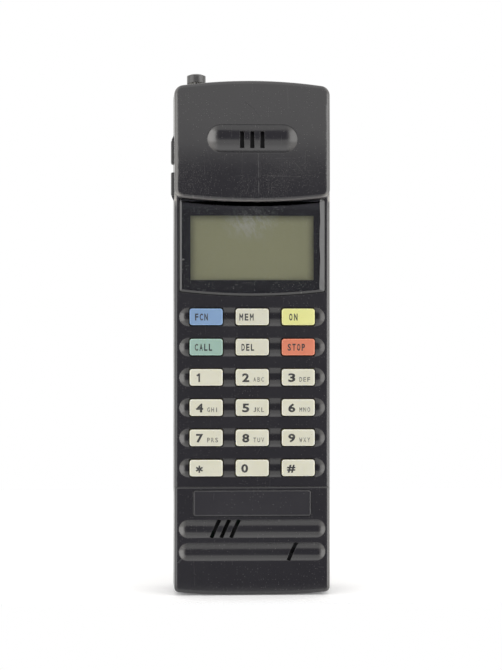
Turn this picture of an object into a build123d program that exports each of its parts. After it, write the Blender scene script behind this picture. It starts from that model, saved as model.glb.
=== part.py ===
"""A one-piece handheld mobile telephone of about 1990, standing on its lower end.

Seen from the front, +X is to the right and +Z is up, and the face looks towards -Y. The origin is on the
base, in the middle of the width and of the depth. Everything is in millimetres.

The case is a deep front cover with a raised earpiece head and a low chin, closed by a rear cover. Above
the battery the rear cover is a full-depth housing, and below it is a flat plate whose sides form a rail.
The battery slides down off that rail. Eighteen keys stand in dished grooves, two volume keys sit in the
left side, and a whip aerial slides up out of the top left corner.
"""

import os
from math import asin, cos, degrees, radians, sqrt

from build123d import *

# Case outline, seen from the front
body_width = 56.3  # across the parting line
crown_radius = 175.0
crown_corner = 3.4
base_corner = 1.8
base_flat = 16.0  # width of the level land that the phone stands on
base_lift = 1.15  # how far the base has risen at its outer corners
side_slope = 0.068  # draft of the sides, away from the parting line

# Heights of the parts of the front, stacked from the base to the crown
chin_top = 38.2
keypad_foot = 6.7  # top of the chin to the middle of the last row of keys
key_pitch_z = 10.66
window_foot = 7.3  # middle of the first row of keys to the window
window_height = 33.2  # from its lower edge to the head, both of them arched
head_height = 43.1  # lower edge of the head to the crown

# Depths, from the parting line forwards and backwards
parting_y = 0.8
front_depth = 10.3  # parting line to the keypad face
rear_depth = 12.7  # parting line to the back of the battery
head_rise = 4.0  # earpiece head, proud of the keypad face
chin_rise = 0.8  # chin, proud of the keypad face
side_wall = 1.6
face_wall = 2.4  # thick enough to take the dished grooves
head_wall = 2.0
face_round = 1.4  # rounding of the keypad face along the case sides
back_round = 2.5

# Earpiece head
head_edge_radius = 215.0
head_corner = 2.8
head_round = 1.7
head_face_radius = 200.0  # the face leans back towards the crown
head_face_upright = 3.3  # height of the upright part of the face, below that
ear_dish_width = 31.6
ear_dish_height = 10.1
ear_dish_depth = 2.2
ear_rise = 21.9  # middle of the dish, above the head's lower edge
ear_slot_width = 1.45
ear_slot_height = 6.0
ear_slot_pitch = 3.58

# Chin
chin_round = 0.6
chin_groove_drops = (14.7, 22.8)  # below the top of the chin
chin_groove_width = 6.3
chin_groove_inset = 2.35  # from the parting line's outline
chin_groove_depth = 1.3
mouth_slot_width = 1.3
mouth_slot_lean = 25.0  # degrees from upright
mouth_slot_pitch = 3.46
mouth_slots_inset = 18.65  # middle one of the three to the left side
ringer_slot_inset = 13.95  # to the right side
nameplate_inset = 7.45
nameplate_height = 9.1
nameplate_thick = 0.5
nameplate_gap = 0.15
nameplate_drop = 5.7  # its middle, below the top of the chin

# Display
window_inset = 2.35
window_thick = 1.5
window_proud = 0.35
window_corner = 0.9
window_bevel = 0.5
mask_thick = 0.25
view_border = 4.0  # width of the mask beside the view
view_height = 22.8
view_rise = 0.5  # middle of the view, above that of the window
lcd_border = 2.3  # glass to the sides of the window
lcd_height = 28.0
lcd_thick = 1.8
lcd_ledge = 1.2  # how far the rear glass stands out above and below the front one
lcd_rim = 1.4  # holder's frame around the glass
strip_width = 1.6

# Keypad
key_width = 11.7
key_height = 5.9
key_corner = 0.9
key_proud = 0.8
key_travel = 0.8
key_side = 6.05  # outer keys to the sides of the case
key_gap = 0.25  # between a key and its opening
key_flange = 0.7  # width and thickness of the lip that keeps a key in
key_seat = 0.1  # lip to the back of the keypad face
plunger_width = 7.6
plunger_height = 3.0
plunger_length = 0.9
plunger_stop = 0.2  # left between the plunger and the board at the end of its travel
row_groove_rim = 0.05  # the grooves are this much wider than the key openings
row_groove_inset = 2.45
row_groove_depth = 1.25
mat_thick = 0.9
mat_edge = 1.0

# Circuit board
board_thick = 1.2
board_side = 3.65  # to the sides of the case
board_bottom = 3.5
board_drop = 9.7  # below the crown
board_gap = 0.05  # parts stand this far off the board, on solder

# Parts on the back of the board
can_wall = 0.4
can_side = 1.2  # to the aerial's guide tube
can_edge = 2.5  # to the board's right edge
can_gap = 2.5  # between one part and the next
logic_can_foot = 14.0
rf_can_height = 26.0
rf_can_deep = 6.0
duplexer_drop = 6.3  # below the top of the board
duplexer_deep = 7.0
tuner_radius = 1.4
tuner_count = 3
amplifier_edge = 1.0  # to the board's right edge
amplifier_width = 6.0
amplifier_height = 20.0
amplifier_deep = 3.2
contact_drop = 8.0  # battery contacts, below the rear housing
contact_block_width = 14.0
contact_block_height = 4.4
contact_pitch = 3.4
contact_width = 1.2
contact_height = 3.2
contact_count = 4
terminal_width = 2.4
terminal_height = 6.0
terminal_thick = 0.4

# Aerial
aerial_inset = 8.35  # its axis to the side of the case
aerial_y = -1.3
whip_radius = 1.2
whip_foot = 70.0  # lower end when it is pushed in
bead_radius = 1.4
bead_length = 3.0
cap_radius = 3.35
cap_height = 3.2
cap_clear = 1.2  # cap to crown when it is pushed in
bush_radius = 2.5
bush_flange_radius = 3.1
bush_flange = 1.0
bush_length = 6.4
bush_play = 0.05
guide_radius = 1.8
guide_bore = 1.5

# Volume keys in the left side
volume_key_rises = (18.4, 7.05)  # above the head's lower edge
volume_key_length = 8.3
volume_key_width = 3.0
volume_key_y = -1.6
volume_key_proud = 0.85
volume_key_travel = 0.5
volume_key_gap = 0.2
volume_flange = 0.6
volume_plunger = 1.4  # how far a key reaches in behind its lip
switch_thick = 2.0
switch_height = 6.0
volume_ramp = 2.6  # length of the ramps that lead up to the keys
volume_ramp_proud = 0.65

# Battery
battery_rise = 4.3  # its top, above the window's lower edge
battery_wall = 1.3
battery_back_wall = 1.2
battery_lid_thick = 1.0
battery_gap = 0.3  # to the rear housing above it
plate_thick = 1.9  # rear cover's plate, with its rail
rail_neck = 1.1  # depth of the groove that the battery's lips run in
rail_inset = 1.0  # how far the lips reach in
rail_play = 0.2
cell_thick = 8.2
cell_side = 1.1  # outer cells to the battery's side walls
cell_clear = 1.8  # cells to the latch above them
cell_board_inset = 1.5  # from the sides of the place that the missing cell leaves
cell_board_ends = 4.8  # from its ends
cell_board_thick = 1.0
strap_thick = 0.3
strap_width = 4.0
grip_rib_proud = 0.45
grip_rib_radius = 0.8
grip_rib_length = 7.5

# Battery latch
latch_width = 16.0
latch_height = 7.8
latch_drop = 6.3  # its middle, below the battery's top
latch_proud = 0.3
latch_travel = 1.3
latch_flange = 1.0
latch_base = 1.1
latch_gap = 0.25
tongue_width = 8.0
tongue_reach = 1.6  # how far it stands up into the rear housing
spring_strip = 0.35
spring_width = 6.0

# Screws that hold the covers together
lower_screw_z = 6.5
screw_radius = 0.85
screw_head_radius = 1.7
screw_head = 1.0
screw_length = 6.5
boss_radius = 2.1
boss_bore = 0.9

# Sockets in the base
jack_inset = 13.15  # its axis to the side of the case
jack_y = -3.6
jack_bore = 1.8
jack_depth = 9.0
jack_nose = 2.5
jack_body = 5.6
connector_width = 18.0
connector_thick = 3.3
connector_length = 7.5
connector_slot_width = 15.6
connector_slot = 1.6
connector_slot_depth = 5.0
connector_pins = 10
socket_inset = 0.4  # socket mouths lie this far above the base

# Sound parts
ear_radius = 10.0
ear_rim = 1.3
gasket_thick = 0.8
mic_radius = 3.0
mic_thick = 2.4
mic_boot_radius = 4.2
ringer_radius = 6.0

# Lip of the rear cover, which fits inside the front cover's rim
lip_thick = 1.2
lip_length = 1.2

# Clearances between fixed pieces
seat = 0.1
air = 0.3

KEY_NAMES = (
    ("key_function", "key_memory", "key_power"),
    ("key_call", "key_clear", "key_end"),
    ("key_1", "key_2", "key_3"),
    ("key_4", "key_5", "key_6"),
    ("key_7", "key_8", "key_9"),
    ("key_star", "key_0", "key_hash"),
)

# Heights worked out from the sizes above
first_row_z = chin_top + keypad_foot + (len(KEY_NAMES) - 1) * key_pitch_z
window_bottom = first_row_z + window_foot
head_bottom = window_bottom + window_height
body_height = head_bottom + head_height
head_face_foot = head_bottom + head_face_upright
ear_height = head_bottom + ear_rise
chin_groove_heights = [chin_top - drop for drop in chin_groove_drops]
nameplate_z = chin_top - nameplate_drop
view_z = window_bottom + window_height / 2 + view_rise
volume_key_heights = [head_bottom + rise for rise in volume_key_rises]
board_top = body_height - board_drop
battery_top = window_bottom + battery_rise
housing_bottom = battery_top + battery_gap
contact_z = housing_bottom - contact_drop
rf_can_foot = housing_bottom + side_wall + can_gap
duplexer_foot = rf_can_foot + rf_can_height + can_gap
duplexer_height = board_top - duplexer_drop - duplexer_foot
latch_z = battery_top - latch_drop
cell_foot = battery_wall + 2 * seat
cell_height = (latch_z - latch_height / 2 - latch_flange - cell_clear - cell_foot - seat) / 2

# Depths worked out from the sizes above
keypad_y = parting_y - front_depth
head_y = keypad_y - head_rise
chin_y = keypad_y - chin_rise
back_y = parting_y + rear_depth
inner_face_y = keypad_y + face_wall
inner_chin_y = chin_y + face_wall
board_y = inner_face_y + key_seat + key_flange + plunger_length + key_travel + plunger_stop
board_back_y = board_y + board_thick
plate_y = parting_y + plate_thick
battery_front_y = plate_y + rail_play
lid_back_y = battery_front_y + battery_lid_thick
battery_inner_y = back_y - battery_back_wall
window_floor_y = keypad_y - window_proud + window_thick + mask_thick

# Widths and sideways places worked out from the sizes above
key_pitch_x = (body_width - key_width) / 2 - key_side
row_groove_length = body_width - 2 * row_groove_inset
row_groove_width = key_height + 2 * (key_gap + row_groove_rim)
chin_groove_length = body_width - 2 * chin_groove_inset
nameplate_width = body_width - 2 * nameplate_inset
window_width = body_width - 2 * window_inset
view_width = window_width - 2 * view_border
lcd_width = window_width - 2 * lcd_border
board_width = body_width - 2 * board_side
battery_inner_width = body_width - 2 * (side_slope * plate_thick + battery_wall)
cell_width = (battery_inner_width - 2 * cell_side - 2 * seat) / 3
aerial_x = aerial_inset - body_width / 2
jack_x = jack_inset - body_width / 2
mouth_slots_x = mouth_slots_inset - body_width / 2
ringer_slot_x = body_width / 2 - ringer_slot_inset
can_left = aerial_x + guide_radius + can_side
can_right = board_width / 2 - can_edge
amplifier_right = board_width / 2 - amplifier_edge

# The aerial's heights
crown_at_aerial = body_height - crown_radius + sqrt(crown_radius**2 - aerial_x**2)
cap_top = crown_at_aerial + cap_clear + cap_height
bush_seat_z = crown_at_aerial - 0.4
bush_bottom_z = bush_seat_z - bush_length
aerial_travel = bush_bottom_z - whip_foot - bead_length - air

# Where the screws go
lower_screw_x = body_width / 2 - side_wall - seat - lip_thick - air - boss_radius
upper_screw_x = -aerial_x - guide_radius - air - boss_radius
mat_top = first_row_z + key_height / 2 + mat_edge
lcd_holder_bottom = view_z - lcd_height / 2 - lcd_rim
upper_screw_z = (mat_top + lcd_holder_bottom) / 2
SCREW_SPOTS = ((lower_screw_x, lower_screw_z), (upper_screw_x, upper_screw_z))

ROW_HEIGHTS = [first_row_z - row * key_pitch_z for row in range(len(KEY_NAMES))]
KEY_SPOTS = {
    name: (column * key_pitch_x, z)
    for z, names in zip(ROW_HEIGHTS, KEY_NAMES)
    for column, name in zip((-1, 0, 1), names)
}


def face_on(y):
    """A sketch plane at depth y that faces the viewer, so that sketch y is +Z and extrusion runs to -Y."""
    return Plane(origin=(0, y, 0), x_dir=(1, 0, 0), z_dir=(0, -1, 0))


def prism(sketch, y_back, y_front):
    """A front-view sketch made solid between two depths."""
    return extrude(face_on(y_back) * sketch, y_back - y_front)


def brick(x, y, z):
    """A box given by its low and high ends along each axis."""
    size = [high - low for low, high in (x, y, z)]
    middle = [(high + low) / 2 for low, high in (x, y, z)]
    return Pos(*middle) * Box(*size)


def upright(radius, z_low, z_high, x, y):
    """A vertical cylinder."""
    return Pos(x, y, (z_low + z_high) / 2) * Cylinder(radius, z_high - z_low)


def half_width(y):
    """Half of the case's width at depth y, which tapers away from the parting line."""
    return body_width / 2 - side_slope * abs(y - parting_y)


def outline(half, inset=0.0):
    """Front view of the case: arched crown, straight sides, and a base that is level in the middle."""
    shoulder = body_height - crown_radius + sqrt(crown_radius**2 - half**2)
    foot = base_flat / 2
    edges = [
        Line((-foot, 0), (foot, 0)),
        TangentArc((foot, 0), (half, base_lift), tangent=(1, 0)),
        Line((half, base_lift), (half, shoulder)),
        ThreePointArc((half, shoulder), (0, body_height), (-half, shoulder)),
        Line((-half, shoulder), (-half, base_lift)),
        TangentArc((-foot, 0), (-half, base_lift), tangent=(-1, 0)),
    ]
    face = make_face(edges)
    crown = [v for v in face.vertices() if v.Y > body_height / 2]
    face = fillet(crown, crown_corner)
    base = [v for v in face.vertices() if v.Y < body_height / 2 and abs(v.X) > half - 0.01]
    base = [v for v in base if v.Y < base_lift + 0.01]
    face = fillet(base, base_corner)
    return offset(face, -inset) if inset else face


def base_rise(x):
    """How far the curved base has risen at a distance x from the middle of the width."""
    reach = (body_width - base_flat) / 2
    radius = (reach**2 + base_lift**2) / (2 * base_lift)
    return radius - sqrt(radius**2 - max(x - base_flat / 2, 0) ** 2)


def slab(y_back, y_front, inset=0.0):
    """The case's outline between two depths on one side of the parting line, with drafted sides."""
    ends = [face_on(y) * outline(half_width(y), inset) for y in (y_back, y_front)]
    return loft(ends, ruled=True)


def arched_band(bottom, top, radius, width):
    """A sketch between two parallel arches of one radius, which sag in the middle."""
    half = width / 2
    rise = radius - sqrt(radius**2 - half**2)
    edges = [
        ThreePointArc((-half, bottom + rise), (0, bottom), (half, bottom + rise)),
        Line((half, bottom + rise), (half, top + rise)),
        ThreePointArc((half, top + rise), (0, top), (-half, top + rise)),
        Line((-half, top + rise), (-half, bottom + rise)),
    ]
    return make_face(edges)


def dish(length, width, depth):
    """A long scoop with round ends, lying along X, cut from a face at y 0 by a capsule in front of it."""
    radius = ((width / 2) ** 2 + depth**2) / (2 * depth)
    straight = length - width
    bar = Cylinder(radius, straight, rotation=(0, 90, 0))
    ends = [Pos(side * straight / 2, 0, 0) * Sphere(radius) for side in (-1, 1)]
    return Pos(0, depth - radius, 0) * (bar + ends[0] + ends[1])


def head_face(inset=0.0):
    """The big cylinder, lying along X, that the head's leaning face is part of."""
    radius = head_face_radius - inset
    drum = Cylinder(radius, body_width + 10, rotation=(0, 90, 0))
    return Pos(0, head_y + head_face_radius, head_face_foot) * drum


def head_lean(z):
    """How far the head's face has fallen back at height z."""
    rise = max(z - head_face_foot, 0)
    return head_face_radius - sqrt(head_face_radius**2 - rise**2)


def window_outline(inset):
    """Front view of the display window, which fits between the head and the keys."""
    top = head_bottom - air
    bottom = window_bottom + inset
    face = arched_band(bottom, top - inset, head_edge_radius, window_width - 2 * inset)
    return fillet(face.vertices(), window_corner)


def bosses(low, high, radius, spots=SCREW_SPOTS):
    """Round posts along Y at the places where screws hold the covers together."""
    spots = [(side * x, z) for x, z in spots for side in (-1, 1)]
    posts = [prism(Pos(*spot) * Circle(radius), high, low) for spot in spots]
    return Part() + posts


def leaning_slot(x, z):
    """One slot of the mouthpiece, cut right through the chin."""
    reach = chin_groove_width / cos(radians(mouth_slot_lean))
    slot = Pos(x, z) * Rot(0, 0, -mouth_slot_lean) * Rectangle(mouth_slot_width, reach)
    return prism(slot, inner_chin_y + 1, chin_y - 1)


def case_front():
    """The outside of the front cover, before anything is cut into it."""
    base = slab(parting_y, keypad_y)
    front = base.faces().sort_by(Axis.Y)[0]
    base = fillet(front.edges(), face_round)
    low = chin_top - 2 * face_round
    high = head_bottom + 2 * head_corner
    base = base & brick((-body_width, body_width), (keypad_y - 1, parting_y), (low, high))

    head = slab(parting_y, head_y - 1)
    above = arched_band(head_bottom, body_height + 10, head_edge_radius, body_width + 2)
    head = head & prism(above, parting_y, head_y - 1) & head_face()
    corners = head.edges().filter_by(lambda e: abs(e.center().Z - head_bottom) < 4)
    corners = corners.filter_by(lambda e: abs(e.center().X) > body_width / 2 - 2)
    corners = corners.filter_by(lambda e: abs(e.tangent_at(0.5).Y) > 0.9)
    head = fillet(corners, head_corner)
    face = head.faces().sort_by(lambda f: f.center().Y)[0]
    head = fillet(face.edges(), head_round)

    chin = slab(parting_y, chin_y)
    chin = chin & brick((-body_width, body_width), (chin_y - 1, parting_y), (-1, chin_top))
    face = chin.faces().sort_by(Axis.Y)[0]
    top_edge = face.edges().sort_by(Axis.Z)[-1]
    chin = fillet([e for e in face.edges() if e != top_edge], face_round)
    face = chin.faces().sort_by(Axis.Y)[0]
    chin = fillet(face.edges().sort_by(Axis.Z)[-1], chin_round)
    return base + head + chin


def case_spaces():
    """The spaces inside the front cover: behind the keypad, inside the head and inside the chin."""
    roof = chin_top - side_wall
    floor = head_bottom + side_wall
    middle = slab(parting_y, inner_face_y, side_wall)
    middle = middle & brick(
        (-body_width, body_width), (inner_face_y, parting_y), (roof - side_wall, floor + 2 * side_wall)
    )
    head = slab(parting_y, head_y, side_wall)
    above = arched_band(floor, body_height + 10, head_edge_radius, body_width)
    head = head & prism(above, parting_y, head_y) & head_face(head_wall)
    chin = slab(parting_y, inner_chin_y, side_wall)
    chin = chin & brick((-body_width, body_width), (chin_y, parting_y), (0, roof))
    return middle, head, chin


def front_cover():
    """The deep moulding with the head, display frame, keypad face and chin in one piece."""
    cover = case_front()
    for space in case_spaces():
        cover -= space

    # The seat behind the earpiece dish, with a rim that centres the receiver
    ear_y = dish_bottom_y() + side_wall
    seat_boss = Pos(0, ear_height) * Circle(ear_radius + ear_rim)
    pad = Pos(0, ear_height) * SlotOverall(ear_dish_width + 3, ear_dish_height + 3)
    backing = prism(seat_boss + pad, ear_y, head_y) & head_face(head_wall / 2)
    rim = seat_boss - Pos(0, ear_height) * Circle(ear_radius + seat)
    backing += prism(rim, ear_y + gasket_thick + 1.6, ear_y - 0.5)
    cover += backing

    # Dished grooves of the keypad and chin, and the earpiece dish
    for z in ROW_HEIGHTS:
        cover -= Pos(0, keypad_y, z) * dish(row_groove_length, row_groove_width, row_groove_depth)
    for z in chin_groove_heights:
        cover -= Pos(0, chin_y, z) * dish(chin_groove_length, chin_groove_width, chin_groove_depth)
    lean = degrees(asin((ear_height - head_face_foot) / head_face_radius))
    ear_dish = Rot(-lean, 0, 0) * dish(ear_dish_width, ear_dish_height, ear_dish_depth)
    cover -= Pos(0, head_y + head_lean(ear_height), ear_height) * ear_dish

    # Sound slots
    slot = Rectangle(ear_slot_width, ear_slot_height)
    for column in (-1, 0, 1):
        cover -= prism(Pos(column * ear_slot_pitch, ear_height) * slot, ear_y + 0.1, head_y)
    for step in (-1, 0, 1):
        cover -= leaning_slot(mouth_slots_x + step * mouth_slot_pitch, chin_groove_heights[0])
    cover -= leaning_slot(ringer_slot_x, chin_groove_heights[1])

    # Key openings, whose corners are cut off to keep the same gap all round the keys
    opening = Rectangle(key_width + 2 * key_gap, key_height + 2 * key_gap)
    opening = chamfer(opening.vertices(), (2 - sqrt(2)) * (key_corner + key_gap))
    openings = Sketch() + [Pos(*spot) * opening for spot in KEY_SPOTS.values()]
    cover -= prism(openings, inner_face_y + 1, keypad_y - 1)

    # Pocket for the display window and the hole behind it
    cover -= prism(window_outline(-seat), window_floor_y, keypad_y - 1)
    view = Pos(0, view_z) * Rectangle(view_width + 1, view_height + 1)
    cover -= prism(view, inner_face_y + 1, keypad_y - 1)

    # Pocket for the blank nameplate
    plate = RectangleRounded(
        nameplate_width + 2 * nameplate_gap, nameplate_height + 2 * nameplate_gap, window_corner
    )
    cover -= prism(Pos(0, nameplate_z) * plate, chin_y + nameplate_thick, chin_y - 1)

    # The front half of the aerial bush's seat
    cover -= bush_pocket()

    # Volume keys: openings, and the ramps that lead up to them from either end
    for z in volume_key_heights:
        cover -= volume_opening(z)
    cover += volume_ramps()

    # Sockets in the base
    cover -= upright(jack_nose + seat, -1, side_wall + 1, jack_x, jack_y)
    cover -= brick(
        (-connector_width / 2 - seat, connector_width / 2 + seat),
        (connector_front_y() - seat, connector_front_y() + connector_thick + seat),
        (-1, side_wall + 1),
    )

    # Screw posts, which grow out of the back of the chin and of the keypad face
    posts = bosses(inner_chin_y - 0.5, parting_y - seat, boss_radius, SCREW_SPOTS[:1])
    posts += bosses(inner_face_y - 0.5, parting_y - seat, boss_radius, SCREW_SPOTS[1:])
    return cover + posts - bosses(inner_face_y + 1, parting_y + 1, boss_bore)


def dish_bottom_y():
    """Depth of the lowest point of the earpiece dish."""
    return head_y + head_lean(ear_height) + ear_dish_depth


def connector_front_y():
    return inner_chin_y + seat


def bush_pocket():
    """The hole for the aerial's bush, which both covers share, with a level seat for its flange."""
    hole = upright(bush_radius + seat / 2, bush_bottom_z - 1, body_height, aerial_x, aerial_y)
    return hole + upright(bush_flange_radius + seat, bush_seat_z, body_height + 1, aerial_x, aerial_y)


def volume_opening(z):
    half_y = volume_key_width / 2 + volume_key_gap
    half_z = volume_key_length / 2 + volume_key_gap
    x = half_width(volume_key_y)
    return brick(
        (-x - 1, -x + side_wall + 0.5),
        (volume_key_y - half_y, volume_key_y + half_y),
        (z - half_z, z + half_z),
    )


def volume_ramps():
    """Two wedges on the left side, which slope up to the outer ends of the pair of volume keys."""
    wall = -half_width(volume_key_y - volume_key_width / 2) + 0.4
    tip = -half_width(volume_key_y) - volume_ramp_proud
    clear = volume_key_length / 2 + volume_key_gap
    ramps = Part()
    for end, way in ((max(volume_key_heights) + clear, 1), (min(volume_key_heights) - clear, -1)):
        far = end + way * volume_ramp
        profile = make_face(Polyline((wall, end), (tip, end), (wall, far), (wall, end)))
        ramps += prism(profile, volume_key_y + volume_key_width / 2, volume_key_y - volume_key_width / 2)
    return ramps


def rear_cover():
    """The back of the case: a full-depth housing above the battery and a rail plate behind it."""
    outer = slab(back_y, parting_y)
    outer = fillet(outer.faces().sort_by(Axis.Y)[-1].edges(), back_round)
    upper = brick((-body_width, body_width), (parting_y, back_y), (housing_bottom, body_height))
    housing = outer & upper
    wall = side_wall
    hollow = slab(back_y - wall, parting_y - 1, wall)
    hollow = hollow & brick(
        (-body_width, body_width), (parting_y - 1, back_y - wall), (housing_bottom + wall, body_height)
    )
    housing = housing - hollow

    # The plate behind the battery, with a groove along each side for the battery's lips
    half = half_width(plate_y) - battery_wall - rail_play
    low = battery_wall + rail_play
    neck_y = parting_y + rail_neck
    high = housing_bottom + wall
    plate = brick((-half, half), (neck_y, plate_y), (low, high))
    neck = half - rail_inset
    plate += brick((-neck, neck), (parting_y, neck_y), (low, high))

    # A lip that fits inside the front cover's rim all round
    lip_out = slab(parting_y, parting_y - lip_length, side_wall + seat)
    lip_in = slab(parting_y + 1, parting_y - lip_length - 1, side_wall + seat + lip_thick)
    cover = housing + plate + (lip_out - lip_in - lip_gap())

    # The slot that the battery latch's tongue stands in, and the battery contacts' window
    tongue = tongue_width / 2 + air
    cover -= brick(
        (-tongue, tongue),
        (latch_inner_y() - latch_travel - air, battery_inner_y + seat),
        (housing_bottom - 1, housing_bottom + wall + 1),
    )
    cover -= contact_block(seat)

    # The rear half of the aerial bush's seat
    cover -= bush_pocket()

    # Countersunk screw holes
    cover -= bosses(parting_y - 2, plate_y + 1, screw_radius + seat)
    cover -= bosses(plate_y - screw_head - seat, plate_y + 1, screw_head_radius + seat)
    return cover


def lip_gap():
    """Where the rear cover's lip is left out, beside the volume keys."""
    low = min(volume_key_heights) - volume_key_length
    high = max(volume_key_heights) + volume_key_length
    return brick((-body_width, -body_width / 4), (parting_y - lip_length - 1, parting_y), (low, high))


def latch_inner_y():
    """Depth of the inner face of the latch's base."""
    return battery_inner_y - seat - latch_base


def contact_block(grow=0.0):
    """The block of spring contacts between the board and the battery."""
    half = contact_block_width / 2 + grow
    tall = contact_block_height / 2 + grow
    y = (board_back_y + board_gap, plate_y)
    return brick((-half, half), y, (contact_z - tall, contact_z + tall))


def contact_row(width, height, y):
    """Flat pads side by side, one for each battery contact."""
    pads = []
    for column in range(contact_count):
        x = (column - (contact_count - 1) / 2) * contact_pitch
        z = (contact_z - height / 2, contact_z + height / 2)
        pads.append(brick((x - width / 2, x + width / 2), y, z))
    return Part() + pads


def battery_contacts():
    """Four sprung blades in an insulating block, which stand just proud of the rear cover's plate."""
    blades = contact_row(contact_width, contact_height, (plate_y - seat, plate_y + rail_play / 2))
    return contact_block() + blades


def battery_case():
    """The battery's tub: back, sides, ends, and the inward lips that run on the rear cover's rail."""
    outer = slab(back_y, parting_y)
    outer = fillet(outer.faces().sort_by(Axis.Y)[-1].edges(), back_round)
    case = outer & brick((-body_width, body_width), (parting_y + rail_play, back_y), (0, battery_top))

    # Hollow for the cells, open towards the phone, bevelled along the back to follow the outer rounding
    half = half_width(plate_y) - battery_wall
    low = battery_wall
    high = battery_top - battery_wall
    hollow = brick((-half, half), (battery_front_y, battery_inner_y), (low, high))
    back_edges = hollow.edges().filter_by(Axis.Z).sort_by(Axis.Y)[-2:]
    hollow = chamfer(back_edges, 1.0)
    case -= hollow

    # The space that the rail fills, which runs out through the top
    case -= brick(
        (-half, half), (parting_y + rail_neck - rail_play, battery_front_y), (low, battery_top + 1)
    )
    neck = half - rail_inset
    case -= brick(
        (-neck, neck), (parting_y, parting_y + rail_neck), (low, battery_top + 1)
    )

    # Openings for the latch's thumb pad and tongue
    pad_x = latch_width / 2 + latch_gap
    pad_z = latch_height / 2 + latch_gap
    case -= brick(
        (-pad_x, pad_x), (battery_inner_y - 1, back_y + 1), (latch_z - pad_z, latch_z + pad_z)
    )
    tongue = tongue_width / 2 + latch_gap
    case -= brick(
        (-tongue, tongue),
        (latch_inner_y() - latch_travel - air, battery_inner_y),
        (high - 1, battery_top + 1),
    )

    # Grip ribs on both sides, in line with the rows of keys
    rib_y = (plate_y + battery_inner_y) / 2 - 1
    x = half_width(rib_y) + grip_rib_proud - grip_rib_radius
    for z in ROW_HEIGHTS:
        for side in (-1, 1):
            rib = Cylinder(grip_rib_radius, grip_rib_length, rotation=(90, 0, 0))
            case += Pos(side * x, rib_y, z) * rib
    return case - hollow


def battery_lid():
    """The thin wall that closes the battery towards the phone, with windows for its terminals."""
    half = half_width(plate_y) - battery_wall - seat
    lid = brick(
        (-half, half),
        (battery_front_y, lid_back_y),
        (battery_wall + seat, battery_top - battery_wall - seat),
    )
    return lid - battery_terminals()


def battery_terminals():
    """Four plated pads let into the lid, opposite the phone's contacts."""
    return contact_row(terminal_width, terminal_height, (battery_front_y, battery_front_y + terminal_thick))


def battery_cells():
    """Five flat rechargeable cells, in two rows, with the sixth place left for the wiring."""
    cells = []
    y = (lid_back_y + seat, lid_back_y + seat + cell_thick)
    for row in range(2):
        for column in (-1, 0, 1):
            if row == 1 and column == 1:
                continue
            x = column * (cell_width + seat)
            z = cell_foot + row * (cell_height + seat)
            cells.append(brick((x - cell_width / 2, x + cell_width / 2), y, (z, z + cell_height)))
    return Part() + cells


def cell_straps():
    """Nickel straps across the upper ends of the cells."""
    middle = lid_back_y + seat + cell_thick / 2
    y = (middle - strap_width / 2, middle + strap_width / 2)
    high = cell_foot + 2 * cell_height + seat
    low = high - cell_height - seat
    left = brick((-cell_width - strap_width, strap_width), y, (high, high + strap_thick))
    right = brick((cell_width - strap_width, cell_width + strap_width), y, (low, low + strap_thick))
    return left + right


def cell_board():
    """The battery's small circuit board, which stands in the place of the sixth cell."""
    x = cell_width + seat
    half = cell_width / 2 - cell_board_inset
    low = cell_foot + cell_height + seat + cell_board_ends
    high = low + cell_height - 2 * cell_board_ends
    front = lid_back_y + seat
    back = front + cell_board_thick
    board = brick((x - half, x + half), (front, back), (low, high))
    lower_chip = (low + (high - low) * 0.1, low + (high - low) * 0.3)
    upper_chip = (low + (high - low) * 0.5, low + (high - low) * 0.8)
    board += brick((x - half * 0.6, x + half * 0.4), (back, back + 2 * cell_board_thick), lower_chip)
    return board + brick((x - half * 0.7, x + half * 0.2), (back, back + cell_board_thick), upper_chip)


def battery_latch():
    """The thumb pad, its base behind the battery's wall, and the tongue that stands into the housing."""
    inner = latch_inner_y()
    pad_x = latch_width / 2
    pad_z = latch_height / 2
    pad = brick(
        (-pad_x, pad_x), (inner + 0.2, back_y + latch_proud), (latch_z - pad_z, latch_z + pad_z)
    )
    pad = chamfer(pad.faces().sort_by(Axis.Y)[-1].edges(), 0.4)
    for step in (-1, 0, 1):
        groove_z = latch_z + step * pad_z / 2
        pad -= brick(
            (-pad_x + 1.5, pad_x - 1.5), (back_y - 0.2, back_y + 1), (groove_z - 0.35, groove_z + 0.35)
        )
    base_x = pad_x + latch_flange
    base_z = pad_z + latch_flange
    base = brick((-base_x, base_x), (inner, inner + latch_base), (latch_z - base_z, latch_z + pad_z + 0.4))
    tongue_x = tongue_width / 2
    tongue = brick(
        (-tongue_x, tongue_x),
        (inner, inner + latch_base),
        (latch_z, battery_top + battery_gap + tongue_reach),
    )
    return pad + base + tongue


def latch_spring():
    """A folded leaf spring between the battery's lid and the latch's base."""
    low = lid_back_y + seat
    high = latch_inner_y() - seat
    half = spring_strip / 2
    bends = [
        (low + half, latch_z - 2.4),
        (low + half, latch_z + 2.6),
        ((low + high) / 2, latch_z - 2.2),
        (high - half, latch_z + 2.6),
        (high - half, latch_z - 2.4),
    ]
    path = FilletPolyline(*bends, radius=0.5)
    strip = trace(path, spring_strip)
    side_on = Plane(origin=(-spring_width / 2, 0, 0), x_dir=(0, 1, 0), z_dir=(1, 0, 0))
    return extrude(side_on * strip, spring_width)


def display_window():
    """The clear pane over the display, proud of the keypad face, with bevelled edges."""
    front = keypad_y - window_proud
    pane = prism(window_outline(0), front + window_thick, front)
    return chamfer(pane.faces().sort_by(Axis.Y)[0].edges(), window_bevel)


def window_mask():
    """The black printed border behind the pane, which also glues it into its pocket."""
    view = Pos(0, view_z) * Rectangle(view_width, view_height)
    back = window_floor_y
    return prism(window_outline(seat) - view, back, back - mask_thick)


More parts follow.
